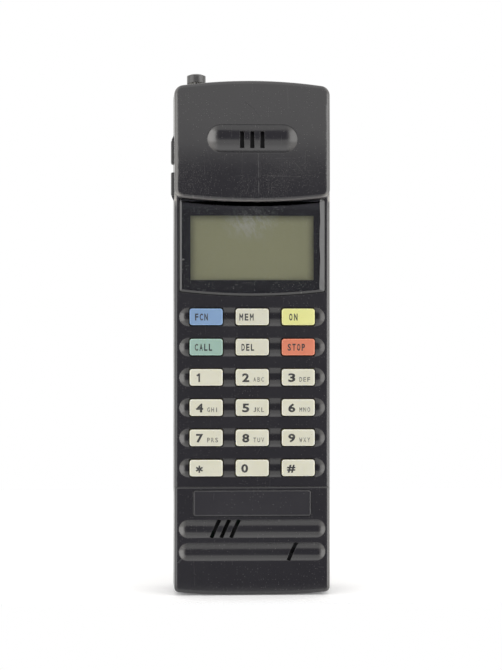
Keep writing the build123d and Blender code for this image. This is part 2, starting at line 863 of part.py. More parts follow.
def lcd_glass():
    """The liquid crystal cell: two glasses, the rear one longer for its contact ledges."""
    front = inner_face_y + seat
    view = Pos(0, view_z) * Rectangle(lcd_width, lcd_height)
    short = Pos(0, view_z) * Rectangle(lcd_width, lcd_height - 2 * lcd_ledge)
    middle = front + lcd_thick / 2
    return prism(short, middle, front) + prism(view, front + lcd_thick, middle)


def lcd_holder():
    """The frame that centres the glass over the board."""
    outer = Rectangle(lcd_width + 2 * lcd_rim, lcd_height + 2 * lcd_rim)
    inner = Rectangle(lcd_width + 2 * seat, lcd_height + 2 * seat)
    return prism(Pos(0, view_z) * (outer - inner), board_y - board_gap, inner_face_y + seat)


def light_guide():
    """The clear plate that spreads the backlight behind the glass."""
    front = inner_face_y + 2 * seat + lcd_thick
    height = lcd_height - 2 * (lcd_ledge + strip_width / 2 + air)
    guide = Pos(0, view_z) * Rectangle(view_width, height)
    return prism(guide, board_y - board_gap, front)


def lcd_strips():
    """Two rubber connector strips between the glass and the board."""
    front = inner_face_y + 2 * seat + lcd_thick
    rise = lcd_height / 2 - lcd_ledge
    strips = [Pos(0, view_z + way * rise) * Rectangle(view_width, strip_width) for way in (-1, 1)]
    return prism(Sketch() + strips, board_y - board_gap, front)


def nameplate():
    """A blank plate let into the chin."""
    plate = RectangleRounded(nameplate_width, nameplate_height, window_corner - nameplate_gap)
    return prism(Pos(0, nameplate_z) * plate, chin_y + nameplate_thick, chin_y)


def key(x, z):
    """One key: the cap in its opening, the lip that keeps it in, and the plunger over the board."""
    front = keypad_y - key_proud
    lip_y = inner_face_y + key_seat
    cap = prism(Pos(x, z) * RectangleRounded(key_width, key_height, key_corner), lip_y, front)
    lip = Pos(x, z) * Rectangle(key_width + 2 * key_flange, key_height + 2 * key_flange)
    plunger = Pos(x, z) * Rectangle(plunger_width, plunger_height)
    lip_back = lip_y + key_flange
    return cap + prism(lip, lip_back, lip_y) + prism(plunger, lip_back + plunger_length, lip_back)


def keymat():
    """The rubber sheet on the board, with a hole round each key's plunger."""
    half_x = key_pitch_x + key_width / 2 + mat_edge
    low = ROW_HEIGHTS[-1] - key_height / 2 - mat_edge
    high = ROW_HEIGHTS[0] + key_height / 2 + mat_edge
    back = board_y - board_gap
    sheet = Pos(0, (low + high) / 2) * Rectangle(2 * half_x, high - low)
    hole = Rectangle(plunger_width + 2 * air, plunger_height + 2 * air)
    holes = Sketch() + [Pos(*spot) * hole for spot in KEY_SPOTS.values()]
    return prism(sheet - holes, back, back - mat_thick)


def volume_lip_x():
    """How far from the middle the outer face of a volume key's inner lip lies."""
    return half_width(volume_key_y - volume_key_width) - side_wall - seat


def volume_key(z):
    """One key in the left side: cap, inner lip and the plunger that meets its switch."""
    wall = half_width(volume_key_y)
    inner = volume_lip_x()
    half_y = volume_key_width / 2
    half_z = volume_key_length / 2
    cap = brick(
        (-wall - volume_key_proud, -inner),
        (volume_key_y - half_y, volume_key_y + half_y),
        (z - half_z, z + half_z),
    )
    cap = fillet(cap.faces().sort_by(Axis.X)[0].edges(), 0.5)
    lip = brick(
        (-inner, -inner + volume_flange),
        (volume_key_y - half_y - 0.5, volume_key_y + half_y + 0.3),
        (z - half_z - volume_flange, z + half_z + volume_flange),
    )
    plunger = brick(
        (-inner, -inner + volume_plunger), (volume_key_y - 0.8, volume_key_y + 0.8), (z - 1.2, z + 1.2)
    )
    return cap + lip + plunger


def side_switches():
    """Two switches at the edge of the board, one behind each volume key."""
    near = -volume_lip_x() + volume_plunger + volume_key_travel + seat
    x = (near, near + switch_thick)
    y = (board_back_y + board_gap, volume_key_y + volume_key_width / 2)
    half = switch_height / 2
    return Part() + [brick(x, y, (z - half, z + half)) for z in volume_key_heights]


def main_board():
    """The circuit board, notched round the screw posts and the charging socket."""
    half = board_width / 2
    board = brick((-half, half), (board_y, board_back_y), (board_bottom, board_top))
    board -= bosses(board_y - 1, board_back_y + 1, boss_radius + air)
    reach = jack_body / 2 + air
    board -= brick(
        (jack_x - reach, jack_x + reach), (board_y - 1, board_back_y + 1), (0, side_wall + jack_depth + 2)
    )
    return board


def shield(x, z, deep):
    """A pressed metal can, open towards the board behind which it sits."""
    wall = can_wall
    y = (board_back_y + board_gap, board_back_y + deep)
    can = brick(x, y, z)
    return can - brick(
        (x[0] + wall, x[1] - wall), (y[0] - 1, y[1] - wall), (z[0] + wall, z[1] - wall)
    )


def logic_shield():
    top = contact_z - contact_block_height / 2 - can_gap
    return shield((can_left, can_right), (logic_can_foot, top), parting_y - board_back_y - air)


def rf_shield():
    return shield((can_left, can_right), (rf_can_foot, rf_can_foot + rf_can_height), rf_can_deep)


def duplexer():
    """The filter block behind the earpiece, with its row of tuning screws."""
    right = amplifier_right - amplifier_width - can_gap
    top = board_back_y + duplexer_deep
    z = (duplexer_foot, duplexer_foot + duplexer_height)
    block = brick((can_left, right), (board_back_y + board_gap, top), z)
    pitch = (right - can_left) / tuner_count
    for column in range(tuner_count):
        spot = Pos(can_left + (column + 0.5) * pitch, duplexer_foot + duplexer_height / 2)
        block += prism(spot * Circle(tuner_radius), top + tuner_radius / 2, top)
    return block


def power_amplifier():
    """The transmitter module, flat on the board beside the filter block."""
    low = duplexer_foot + (duplexer_height - amplifier_height) / 2
    y = (board_back_y + board_gap, board_back_y + amplifier_deep)
    return brick((amplifier_right - amplifier_width, amplifier_right), y, (low, low + amplifier_height))


def earpiece():
    """The receiver capsule, with a stepped back."""
    front = dish_bottom_y() + side_wall + gasket_thick
    back = board_y - seat
    middle = (front + back) / 2
    disc = Pos(0, ear_height) * Circle(ear_radius - seat)
    step = Pos(0, ear_height) * Circle(ear_radius - 1.5)
    return prism(disc, middle, front) + prism(step, back, middle)


def earpiece_gasket():
    """The foam ring between the capsule and the case."""
    front = dish_bottom_y() + side_wall
    ring = Circle(ear_radius - seat) - Circle(ear_radius - 2.5)
    return prism(Pos(0, ear_height) * ring, front + gasket_thick, front)


def mic_spot():
    return mouth_slots_x, chin_groove_heights[0]


def microphone():
    back = board_y - board_gap
    return prism(Pos(*mic_spot()) * Circle(mic_radius), back, back - mic_thick)


def microphone_boot():
    """The rubber sleeve that holds the microphone and seals it to the slots in the chin."""
    ring = Circle(mic_boot_radius) - Circle(mic_radius + seat / 2)
    return prism(Pos(*mic_spot()) * ring, board_y - board_gap, inner_chin_y)


def ringer():
    """The buzzer behind the single slot."""
    spot = Pos(ringer_slot_x, chin_groove_heights[1])
    back = board_y - board_gap
    body = prism(spot * Circle(ringer_radius), back, inner_chin_y + seat)
    return body - prism(spot * Circle(1.2), inner_chin_y + 1.5, inner_chin_y)


def aerial_whip():
    """The sliding rod, with the bead at its foot that stops it in the bush."""
    rod = upright(whip_radius, whip_foot, cap_top - cap_height / 2, aerial_x, aerial_y)
    return rod + upright(bead_radius, whip_foot, whip_foot + bead_length, aerial_x, aerial_y)


def aerial_cap():
    """The finger cap on the rod, with a slightly sloping rim."""
    cap = upright(cap_radius, cap_top - cap_height, cap_top, aerial_x, aerial_y)
    cap = chamfer(cap.edges().sort_by(Axis.Z)[-1], 0.5, 1.2)
    foot = cap_top - cap_height
    return cap - upright(whip_radius, foot - 1, foot + cap_height / 2, aerial_x, aerial_y)


def aerial_bush():
    """The collar in the top of the case that the rod slides through."""
    bush = upright(bush_radius, bush_bottom_z, bush_seat_z, aerial_x, aerial_y)
    bush += upright(bush_flange_radius, bush_seat_z, bush_seat_z + bush_flange, aerial_x, aerial_y)
    bore = whip_radius + bush_play
    return bush - upright(bore, bush_bottom_z - 1, bush_seat_z + bush_flange + 1, aerial_x, aerial_y)


def aerial_guide():
    """The tube beside the board that the rod slides down into."""
    tube = upright(guide_radius, whip_foot - 1.5, bush_bottom_z, aerial_x, aerial_y)
    return tube - upright(guide_bore, whip_foot - 0.5, bush_bottom_z + 1, aerial_x, aerial_y)


def aerial_contact():
    """The sprung strip that joins the bush to the board."""
    near = aerial_x + bush_radius + seat
    front = board_back_y + board_gap
    low = board_top - 6
    foot = brick((near, near + 4), (front, board_back_y + 0.4), (low, board_top))
    leg = brick((near, near + 0.4), (front, aerial_y + 0.8), (low, bush_bottom_z + 3))
    return foot + leg


def charge_jack():
    """The round charging socket, with its mouth in the base."""
    half = jack_body / 2
    foot = side_wall + base_rise(half - jack_x) + seat
    top = socket_inset + jack_depth + 1.2
    body = brick((jack_x - half, jack_x + half), (jack_y - half, jack_y + half), (foot, top))
    body += upright(jack_nose, socket_inset, foot + 1, jack_x, jack_y)
    return body - upright(jack_bore, socket_inset - 1, socket_inset + jack_depth, jack_x, jack_y)


def system_connector():
    """The flat accessory socket in the base."""
    half = connector_width / 2
    front = connector_front_y()
    y = (front, front + connector_thick)
    body = brick((-half, half), y, (socket_inset, socket_inset + connector_length))
    slot = connector_slot_width / 2
    middle = front + connector_thick / 2
    return body - brick(
        (-slot, slot),
        (middle - connector_slot / 2, middle + connector_slot / 2),
        (socket_inset - 1, socket_inset + connector_slot_depth),
    )


def connector_contacts():
    """The row of blades in the accessory socket."""
    middle = connector_front_y() + connector_thick / 2
    y = (middle + connector_slot / 2 - 0.3, middle + connector_slot / 2)
    pitch = connector_slot_width / connector_pins
    z = (socket_inset + 0.8, socket_inset + connector_slot_depth)
    blades = []
    for pin in range(connector_pins):
        x = (pin - (connector_pins - 1) / 2) * pitch
        blades.append(brick((x - pitch / 4, x + pitch / 4), y, z))
    return Part() + blades


def cover_screws():
    """Four screws from the rail plate into the front cover's posts."""
    shanks = bosses(plate_y - screw_head - screw_length, plate_y - screw_head, screw_radius)
    heads = bosses(plate_y - screw_head, plate_y - seat, screw_head_radius)
    return shanks + heads


PIECES = {
    "front_cover": front_cover,
    "rear_cover": rear_cover,
    "nameplate": nameplate,
    "display_window": display_window,
    "window_mask": window_mask,
    "lcd_glass": lcd_glass,
    "lcd_holder": lcd_holder,
    "light_guide": light_guide,
    "lcd_strips": lcd_strips,
    "keymat": keymat,
    "main_board": main_board,
    "side_switches": side_switches,
    "logic_shield": logic_shield,
    "rf_shield": rf_shield,
    "duplexer": duplexer,
    "power_amplifier": power_amplifier,
    "earpiece": earpiece,
    "earpiece_gasket": earpiece_gasket,
    "microphone": microphone,
    "microphone_boot": microphone_boot,
    "ringer": ringer,
    "aerial_whip": aerial_whip,
    "aerial_cap": aerial_cap,
    "aerial_bush": aerial_bush,
    "aerial_guide": aerial_guide,
    "aerial_contact": aerial_contact,
    "charge_jack": charge_jack,
    "system_connector": system_connector,
    "connector_contacts": connector_contacts,
    "battery_contacts": battery_contacts,
    "cover_screws": cover_screws,
    "battery_case": battery_case,
    "battery_lid": battery_lid,
    "battery_terminals": battery_terminals,
    "battery_cells": battery_cells,
    "cell_straps": cell_straps,
    "cell_board": cell_board,
    "battery_latch": battery_latch,
    "latch_spring": latch_spring,
}


def main():
    os.makedirs("parts", exist_ok=True)
    for name, make in PIECES.items():
        export_step(make(), f"parts/{name}.step")
    for name, (x, z) in KEY_SPOTS.items():
        export_step(key(x, z), f"parts/{name}.step")
    for name, z in zip(("volume_up_key", "volume_down_key"), volume_key_heights):
        export_step(volume_key(z), f"parts/{name}.step")
    print("aerial travel", round(aerial_travel, 2))


if __name__ == "__main__":
    main()
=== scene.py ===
from math import cos, pi, radians, sin

import bmesh
import bpy
from mathutils import Matrix, Vector


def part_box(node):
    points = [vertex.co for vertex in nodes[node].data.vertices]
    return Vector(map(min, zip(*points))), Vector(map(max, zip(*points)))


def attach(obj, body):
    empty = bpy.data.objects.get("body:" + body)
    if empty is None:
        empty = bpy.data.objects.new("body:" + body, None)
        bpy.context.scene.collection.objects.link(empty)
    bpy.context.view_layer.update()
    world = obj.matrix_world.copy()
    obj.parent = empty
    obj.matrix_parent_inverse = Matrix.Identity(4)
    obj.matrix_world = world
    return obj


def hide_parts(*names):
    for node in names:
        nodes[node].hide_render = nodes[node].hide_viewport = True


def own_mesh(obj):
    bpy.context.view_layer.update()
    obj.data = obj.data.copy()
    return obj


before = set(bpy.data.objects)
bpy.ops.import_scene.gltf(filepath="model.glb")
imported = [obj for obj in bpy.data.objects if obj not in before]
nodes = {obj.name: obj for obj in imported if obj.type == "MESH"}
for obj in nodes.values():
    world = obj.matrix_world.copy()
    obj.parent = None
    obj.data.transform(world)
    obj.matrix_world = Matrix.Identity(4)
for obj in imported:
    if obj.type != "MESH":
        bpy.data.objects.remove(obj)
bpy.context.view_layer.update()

mm = 0.001


# Camera
# The photograph was taken square on, a little left of the middle line and half way up the phone.
# The lens gives the photograph's scale at the front of the keys.
camera_height = 91.8 * mm
camera_distance = 460 * mm
camera_aside = 1.8  # degrees
aim_x = -0.45 * mm
picture_height = 670  # pixels
pixel_at_keys = 0.3525 * mm
key_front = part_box("key_5")[0][1]

camera_data = bpy.data.cameras.new("camera")
camera = bpy.data.objects.new("camera", camera_data)
bpy.context.scene.collection.objects.link(camera)
bpy.context.scene.camera = camera
camera_data.sensor_width = 36
camera_data.lens = camera_data.sensor_width * camera_distance / (picture_height * pixel_at_keys)
camera_data.clip_start = 0.01
aim = Vector((aim_x, key_front, camera_height))
away = Vector((-sin(radians(camera_aside)), -cos(radians(camera_aside)), 0))
camera.location = aim + away * camera_distance
camera.rotation_euler = (-away).to_track_quat("-Z", "Y").to_euler()


# Floor
# A sheet of white paper, cut a little larger than the phone stands, in a white room.
# The paper keeps the phone's soft shadow.
paper_width = 620 * mm
paper_front = -27 * mm
paper_faded = -13 * mm  # its front edge fades into the white room from here
paper_back = 300 * mm
paper_corner = 20 * mm
paper_glow = 0.15  # so that the sheet is as white as the room behind it


def wire(tree, kind, inputs=None, **settings):
    """One shader node, with its settings, and the value or the plug of each named socket."""
    made = tree.nodes.new("ShaderNode" + kind)
    for setting, value in settings.items():
        setattr(made, setting, value)
    for socket, value in (inputs or {}).items():
        if isinstance(value, bpy.types.NodeSocket):
            tree.links.new(value, made.inputs[socket])
        else:
            made.inputs[socket].default_value = value
    return made


def new_material(name, roughness=0.5, metallic=0.0):
    """An empty material: the material, its tree and its Principled shader's sockets."""
    material = bpy.data.materials.new(name)
    material.use_nodes = True
    sockets = material.node_tree.nodes["Principled BSDF"].inputs
    sockets["Roughness"].default_value = roughness
    sockets["Metallic"].default_value = metallic
    return material, material.node_tree, sockets


def noise(tree, where, scale, detail, **more):
    """Noise between 0 and 1."""
    inputs = {"Vector": where, "Scale": scale, "Detail": detail, **more}
    return wire(tree, "TexNoise", inputs).outputs["Fac"]


def step(tree, value, low, high, start=0.0, end=1.0):
    """A smooth change from start to end while value goes from low to high."""
    inputs = {"Value": value, "From Min": low, "From Max": high, "To Min": start, "To Max": end}
    return wire(tree, "MapRange", inputs, interpolation_type="SMOOTHSTEP").outputs["Result"]


def blend(tree, factor, first, second):
    """A colour between two, by a mask."""
    inputs = {"Factor": factor, "A": first, "B": second}
    return wire(tree, "Mix", inputs, data_type="RGBA").outputs["Result"]


def maths(tree, operation, first, second=0.0):
    """One sum on a mask or a number."""
    return wire(tree, "Math", {0: first, 1: second}, operation=operation).outputs[0]


def times(tree, *masks):
    """The product of masks or numbers."""
    product = masks[0]
    for mask in masks[1:]:
        product = maths(tree, "MULTIPLY", product, mask)
    return product


def emboss(tree, surface, height, depth, **more):
    """Let a mask raise a material's surface, or sink it where the depth is below zero."""
    bump = wire(tree, "Bump", {"Height": height, "Distance": depth, **more})
    tree.links.new(bump.outputs["Normal"], surface["Normal"])


def rounded_plate(width, height, corner, segments):
    """One flat face with rounded corners, in a new bmesh."""
    bm = bmesh.new()
    bmesh.ops.create_grid(bm, x_segments=1, y_segments=1, size=0.5)
    bmesh.ops.scale(bm, vec=(width, height, 1), verts=bm.verts)
    bmesh.ops.bevel(
        bm, geom=bm.verts[:], offset=corner, segments=segments, profile=0.5, affect="VERTICES",
        material=-1,
    )
    return bm


def finished_piece(name, bm, *materials, rounded=False):
    """A piece made from a bmesh, with its faces turned outwards, and smooth where it is rounded."""
    mesh = bpy.data.meshes.new(name)
    bmesh.ops.recalc_face_normals(bm, faces=bm.faces)
    if rounded:
        for face in bm.faces:
            face.smooth = True
        for edge in bm.edges:
            edge.smooth = edge.calc_face_angle(0) < radians(40)
    bm.to_mesh(mesh)
    bm.free()
    for material in materials:
        mesh.materials.append(material)
    piece = bpy.data.objects.new(name, mesh)
    bpy.context.scene.collection.objects.link(piece)
    if rounded:
        even = piece.modifiers.new("even", "WEIGHTED_NORMAL")
        even.keep_sharp = True
    return piece


paper, tree, surface = new_material("white_paper", roughness=0.9)
surface["Specular IOR Level"].default_value = 0.1
where = wire(tree, "TexCoord").outputs["Object"]
fibre = noise(tree, where, 700, 4)
tint = blend(tree, fibre, (0.93, 0.93, 0.93, 1), (0.98, 0.98, 0.98, 1))
tree.links.new(tint, surface["Base Color"])
emboss(tree, surface, fibre, 0.02 * mm, Strength=0.5)
rays = wire(tree, "LightPath").outputs
seen = maths(tree, "MAXIMUM", rays["Is Camera Ray"], rays["Is Glossy Ray"])
seen = maths(tree, "MAXIMUM", seen, rays["Is Transmission Ray"])
surface["Emission Color"].default_value = (1, 1, 1, 1)
tree.links.new(times(tree, seen, paper_glow), surface["Emission Strength"])
depth = wire(tree, "SeparateXYZ", {0: where}).outputs["Y"]
tree.links.new(step(tree, depth, paper_front, paper_faded), surface["Alpha"])

bm = rounded_plate(paper_width, paper_back - paper_front, paper_corner, 6)
bmesh.ops.translate(bm, vec=(0, (paper_back + paper_front) / 2, -0.05 * mm), verts=bm.verts)
floor_paper = finished_piece("floor_paper", bm, paper)


# Light
# A white room, a soft box above, one at each side, and a dark card behind the camera.
# The card darkens what the flat black faces mirror, and the boxes draw their edges and grooves.
room_level = 1.0
room_white = (1.0, 0.99, 0.975, 1)
# Each box's place and size in metres, and its power in watts.
BOXES = {
    "box_above": ((0.0, -0.35, 1.0), (1.2, 0.6), 0.6),
    "box_left": ((-0.70, -0.39, 0.12), (0.75, 0.9), 2.1),
    "box_right": ((0.70, -0.39, 0.12), (0.75, 0.9), 3.1),
}
# The card, in metres.
card_width = 0.86
card_low = -0.36
card_high = 0.32
card_distance = 0.62
card_corner = 0.04
card_dark = (0.146, 0.142, 0.174, 1)
card_light = (0.160, 0.156, 0.192, 1)

for name, (place, size, power) in BOXES.items():
    box_data = bpy.data.lights.new(name, "AREA")
    box_data.shape = "RECTANGLE"
    box_data.size, box_data.size_y = size
    box_data.energy = power
    box = bpy.data.objects.new(name, box_data)
    bpy.context.scene.collection.objects.link(box)
    box.location = place
    box.rotation_euler = (aim - Vector(place)).to_track_quat("-Z", "Y").to_euler()

world = bpy.data.worlds.new("white_room")
bpy.context.scene.world = world
world.use_nodes = True
tree = world.node_tree
shown = wire(tree, "LightPath").outputs["Is Camera Ray"]
walls = blend(tree, shown, room_white, (1, 1, 1, 1))
tree.links.new(walls, tree.nodes["Background"].inputs["Color"])
tree.nodes["Background"].inputs["Strength"].default_value = room_level


def set_upright(bm, place):
    """Turn a shape that is drawn flat to face the front, and move its origin to a place."""
    bmesh.ops.rotate(bm, cent=(0, 0, 0), matrix=Matrix.Rotation(pi / 2, 3, "X"), verts=bm.verts)
    bmesh.ops.translate(bm, vec=place, verts=bm.verts)


grey, tree, surface = new_material("grey_card", roughness=0.9)
fibre = noise(tree, wire(tree, "TexCoord").outputs["Object"], 300, 3)
tree.links.new(blend(tree, fibre, card_dark, card_light), surface["Base Color"])
bm = rounded_plate(card_width, card_high - card_low, card_corner, 6)
set_upright(bm, (0, -card_distance, (card_high + card_low) / 2))
card = finished_piece("grey_card", bm, grey)
card.visible_camera = False

bpy.context.scene.view_settings.view_transform = "Standard"


# Front and rear covers
# The two halves of the case, moulded in black ABS with a fine satin grain, and screwed together.
# Years of handling left smudges, hair scratches, rubbed edges and dust. The front also carries painted
# highlights on its edges, and painted light and shade under its head and in its dish.
case_colour = (0.0165, 0.0158, 0.0180, 1)
rubbed_colour = (0.050, 0.049, 0.050, 1)
dust_colour = (0.22, 0.21, 0.20, 1)
# The next two colours are painted highlights, for lightened sides and edges and for the head's lower
# corners.
painted_highlight_colour = (0.115, 0.110, 0.105, 1)
corner_highlight_colour = (0.50, 0.47, 0.42, 1)


def shader_group(name, inputs, outputs):
    """A node group with number inputs and their usual values, and its named outputs."""
    group = bpy.data.node_groups.new(name, "ShaderNodeTree")
    for socket, value in inputs.items():
        group.interface.new_socket(name=socket, in_out="INPUT", socket_type="NodeSocketFloat")
        group.interface.items_tree[socket].default_value = value
    for socket, kind in outputs.items():
        group.interface.new_socket(name=socket, in_out="OUTPUT", socket_type="NodeSocket" + kind)
    given = group.nodes.new("NodeGroupInput").outputs
    result = group.nodes.new("NodeGroupOutput").inputs
    return group, given, result


def place_group(tree, group, **values):
    """One use of a shader group in a material, with its own values."""
    made = tree.nodes.new("ShaderNodeGroup")
    made.node_tree = group
    for socket, value in values.items():
        made.inputs[socket].default_value = value
    return made.outputs


def drop(tree, value, low, high):
    """A smooth change from 1 to 0 while value goes from low to high."""
    return step(tree, value, low, high, 1.0, 0.0)


def vectors(tree, operation, first, second):
    """One sum on two vectors, which gives a vector or a number."""
    found = wire(tree, "VectorMath", {0: first, 1: second}, operation=operation).outputs
    return found["Value" if operation in ("DOT_PRODUCT", "DISTANCE") else "Vector"]


def length(tree, vector):
    """The length of a vector."""
    return wire(tree, "VectorMath", {0: vector}, operation="LENGTH").outputs["Value"]


# Grain of a moulded surface: fine pits left by the tool's satin finish.
mould_grain, given, result = shader_group("mould_grain", {"Scale": 5000.0}, {"Height": "Float"})
where = wire(mould_grain, "TexCoord").outputs["Object"]
pits = noise(mould_grain, where, given["Scale"], 3, Roughness=0.6)
mould_grain.links.new(pits, result["Height"])

# Smudges: uneven grease from hands, in large soft patches with fine broken edges.
smudges, given, result = shader_group("smudges", {"Scale": 45.0}, {"Value": "Float"})
where = wire(smudges, "TexCoord").outputs["Object"]
patch = noise(smudges, where, given["Scale"], 6, Roughness=0.62, Distortion=0.6)
smudges.links.new(step(smudges, patch, 0.32, 0.68), result["Value"])


def flat_place(tree):
    """Two coordinates that run over whichever side of the object a face is on, to draw marks there."""
    found = wire(tree, "TexCoord").outputs
    along = wire(tree, "SeparateXYZ", {0: found["Object"]}).outputs
    facing = wire(tree, "SeparateXYZ", {0: found["Normal"]}).outputs
    level = maths(tree, "ABSOLUTE", facing["X"])
    sideways = maths(tree, "GREATER_THAN", level, maths(tree, "ABSOLUTE", facing["Y"]))
    across = wire(tree, "Mix", {"Factor": sideways, "A": along["X"], "B": along["Y"]}).outputs["Result"]
    up = maths(tree, "ADD", along["Z"], along["Y"])
    return wire(tree, "CombineXYZ", {"X": across, "Y": up}).outputs[0]


# Hair scratches: short straight strokes in one direction, each of its own length.
hair_scratches, given, result = shader_group(
    "hair_scratches", {"Across": 900.0, "Lean": 0.0, "Amount": 0.3, "Width": 0.035}, {"Mask": "Float"}
)
place = flat_place(hair_scratches)
turned = wire(
    hair_scratches, "VectorRotate", {"Vector": place, "Angle": given["Lean"]}, rotation_type="Z_AXIS"
).outputs[0]
bend = wire(hair_scratches, "TexNoise", {"Vector": place, "Scale": 55, "Detail": 1}).outputs["Color"]
bend = vectors(hair_scratches, "MULTIPLY", bend, (0.003, 0, 0))
turned = vectors(hair_scratches, "ADD", turned, bend)
narrow = vectors(hair_scratches, "MULTIPLY", turned, (1, 0.02, 0))
cells = wire(
    hair_scratches, "TexVoronoi", {"Vector": narrow, "Scale": given["Across"]}, voronoi_dimensions="2D"
).outputs
chance = wire(hair_scratches, "SeparateColor", {"Color": cells["Color"]}).outputs
present = maths(hair_scratches, "LESS_THAN", chance["Red"], given["Amount"])
reach = times(hair_scratches, given["Width"], maths(hair_scratches, "ADD", chance["Green"], 0.3))
inside = maths(hair_scratches, "LESS_THAN", cells["Distance"], reach)
strength = maths(hair_scratches, "ADD", times(hair_scratches, chance["Blue"], 0.7), 0.3)
hair_scratches.links.new(times(hair_scratches, inside, present, strength), result["Mask"])

# One long scratch on the front, between two points in millimetres.
long_scratch, given, result = shader_group(
    "long_scratch",
    {"From X": 0.0, "From Z": 0.0, "To X": 0.0, "To Z": 10.0, "Width": 0.12},
    {"Mask": "Float"},
)
found = wire(long_scratch, "TexCoord").outputs
place = vectors(long_scratch, "MULTIPLY", found["Object"], (1000, 0, 1000))
start = wire(long_scratch, "CombineXYZ", {"X": given["From X"], "Z": given["From Z"]}).outputs[0]
finish = wire(long_scratch, "CombineXYZ", {"X": given["To X"], "Z": given["To Z"]}).outputs[0]
line = vectors(long_scratch, "SUBTRACT", finish, start)
near = vectors(long_scratch, "SUBTRACT", place, start)
ahead = vectors(long_scratch, "DOT_PRODUCT", near, line)
whole = vectors(long_scratch, "DOT_PRODUCT", line, line)
share = wire(
    long_scratch, "Clamp", {"Value": maths(long_scratch, "DIVIDE", ahead, whole), "Min": 0.0, "Max": 1.0}
).outputs[0]
foot = wire(long_scratch, "VectorMath", {0: line, "Scale": share}, operation="SCALE").outputs[0]
off = vectors(long_scratch, "DISTANCE", near, foot)
worn = step(long_scratch, noise(long_scratch, found["Object"], 500, 3), 0.35, 0.60, 0.35, 1.0)
inside = maths(long_scratch, "LESS_THAN", off, times(long_scratch, given["Width"], 0.5))
forward = wire(long_scratch, "SeparateXYZ", {0: found["Normal"]}).outputs["Y"]
on_front = maths(long_scratch, "LESS_THAN", forward, -0.7)
long_scratch.links.new(times(long_scratch, inside, worn, on_front), result["Mask"])


def scratch(tree, *line):
    """One long scratch in a material: from x, z to x, z and its width, in millimetres."""
    values = dict(zip(("From X", "From Z", "To X", "To Z", "Width"), line))
    return place_group(tree, long_scratch, **values)["Mask"]


# Dust: small specks, each of its own size, lying thicker in some patches.
dust, given, result = shader_group(
    "dust", {"Scale": 1100.0, "Amount": 0.3, "Size": 0.12}, {"Mask": "Float"}
)
place = flat_place(dust)
cells = wire(
    dust, "TexVoronoi", {"Vector": place, "Scale": given["Scale"]}, voronoi_dimensions="2D"
).outputs
chance = wire(dust, "SeparateColor", {"Color": cells["Color"]}).outputs
thick = step(dust, noise(dust, place, 60, 2), 0.35, 0.65, 0.25, 1.6)
thick = times(dust, given["Amount"], thick)
present = maths(dust, "LESS_THAN", chance["Red"], thick)
reach = times(dust, given["Size"], chance["Green"])
speck = maths(dust, "LESS_THAN", cells["Distance"], reach)
dust.links.new(times(dust, speck, present), result["Mask"])

# Edges: a small rounding of every sharp edge, and a mask of where hands have rubbed it.
soft_edges, given, result = shader_group(
    "soft_edges", {"Radius": 0.32 * mm, "Rub": 0.5}, {"Normal": "Vector", "Rubbed": "Float"}
)
where = wire(soft_edges, "TexCoord").outputs["Object"]
rounded = wire(soft_edges, "Bevel", {"Radius": given["Radius"]}, samples=4)
true_normal = wire(soft_edges, "NewGeometry").outputs["Normal"]
same = vectors(soft_edges, "DOT_PRODUCT", rounded.outputs[0], true_normal)
edge = step(soft_edges, same, 0.995, 0.80)
uneven = step(soft_edges, noise(soft_edges, where, 350, 3), 0.40, 0.62)
soft_edges.links.new(rounded.outputs[0], result["Normal"])
soft_edges.links.new(times(soft_edges, edge, uneven, given["Rub"]), result["Rubbed"])


def satin_plastic(
    name, colour, rubbed, roughness,
    grain=5000.0, depth=0.010 * mm, wear=0.6, dusty=0.3, shine=0.5, scored=(),
):
    """A moulded plastic: grained, smudged and dusty, with rubbed edges, scratches and long scores."""
    material, tree, surface = new_material(name)
    surface["Specular IOR Level"].default_value = shine
    edges = place_group(tree, soft_edges, Rub=wear)
    greasy = place_group(tree, smudges)["Value"]
    marks = place_group(tree, hair_scratches, Amount=wear * 0.5)["Mask"]
    for lean, across in ((1.45, 700.0), (0.55, 600.0), (-0.7, 500.0)):
        more = place_group(tree, hair_scratches, Across=across, Lean=lean, Amount=wear * 0.3)["Mask"]
        marks = maths(tree, "MAXIMUM", marks, more)
    marks = times(tree, marks, 0.5)
    for *line, strength in scored:
        marks = maths(tree, "MAXIMUM", marks, times(tree, scratch(tree, *line), strength))
    specks = place_group(tree, dust, Amount=dusty)["Mask"]
    greased = tuple(c * 0.8 for c in colour[:3]) + (1,)
    worn = maths(tree, "MAXIMUM", times(tree, edges["Rubbed"], 0.4), marks)
    shade = blend(tree, times(tree, greasy, 0.35), colour, greased)
    shade = blend(tree, worn, shade, rubbed)
    shade = blend(tree, times(tree, specks, 0.4), shade, dust_colour)
    tree.links.new(shade, surface["Base Color"])
    gloss = step(tree, greasy, 0, 1, roughness + 0.04, roughness - 0.04)
    gloss = maths(tree, "ADD", gloss, times(tree, maths(tree, "MAXIMUM", specks, marks), 0.25))
    tree.links.new(gloss, surface["Roughness"])
    pits = place_group(tree, mould_grain, Scale=grain)["Height"]
    emboss(tree, surface, maths(tree, "SUBTRACT", pits, marks), depth, Normal=edges["Normal"])
    return material


def dress(material, *names):
    """Give the named CAD pieces their finish."""
    for name in names:
        nodes[name].material_slots[0].material = material


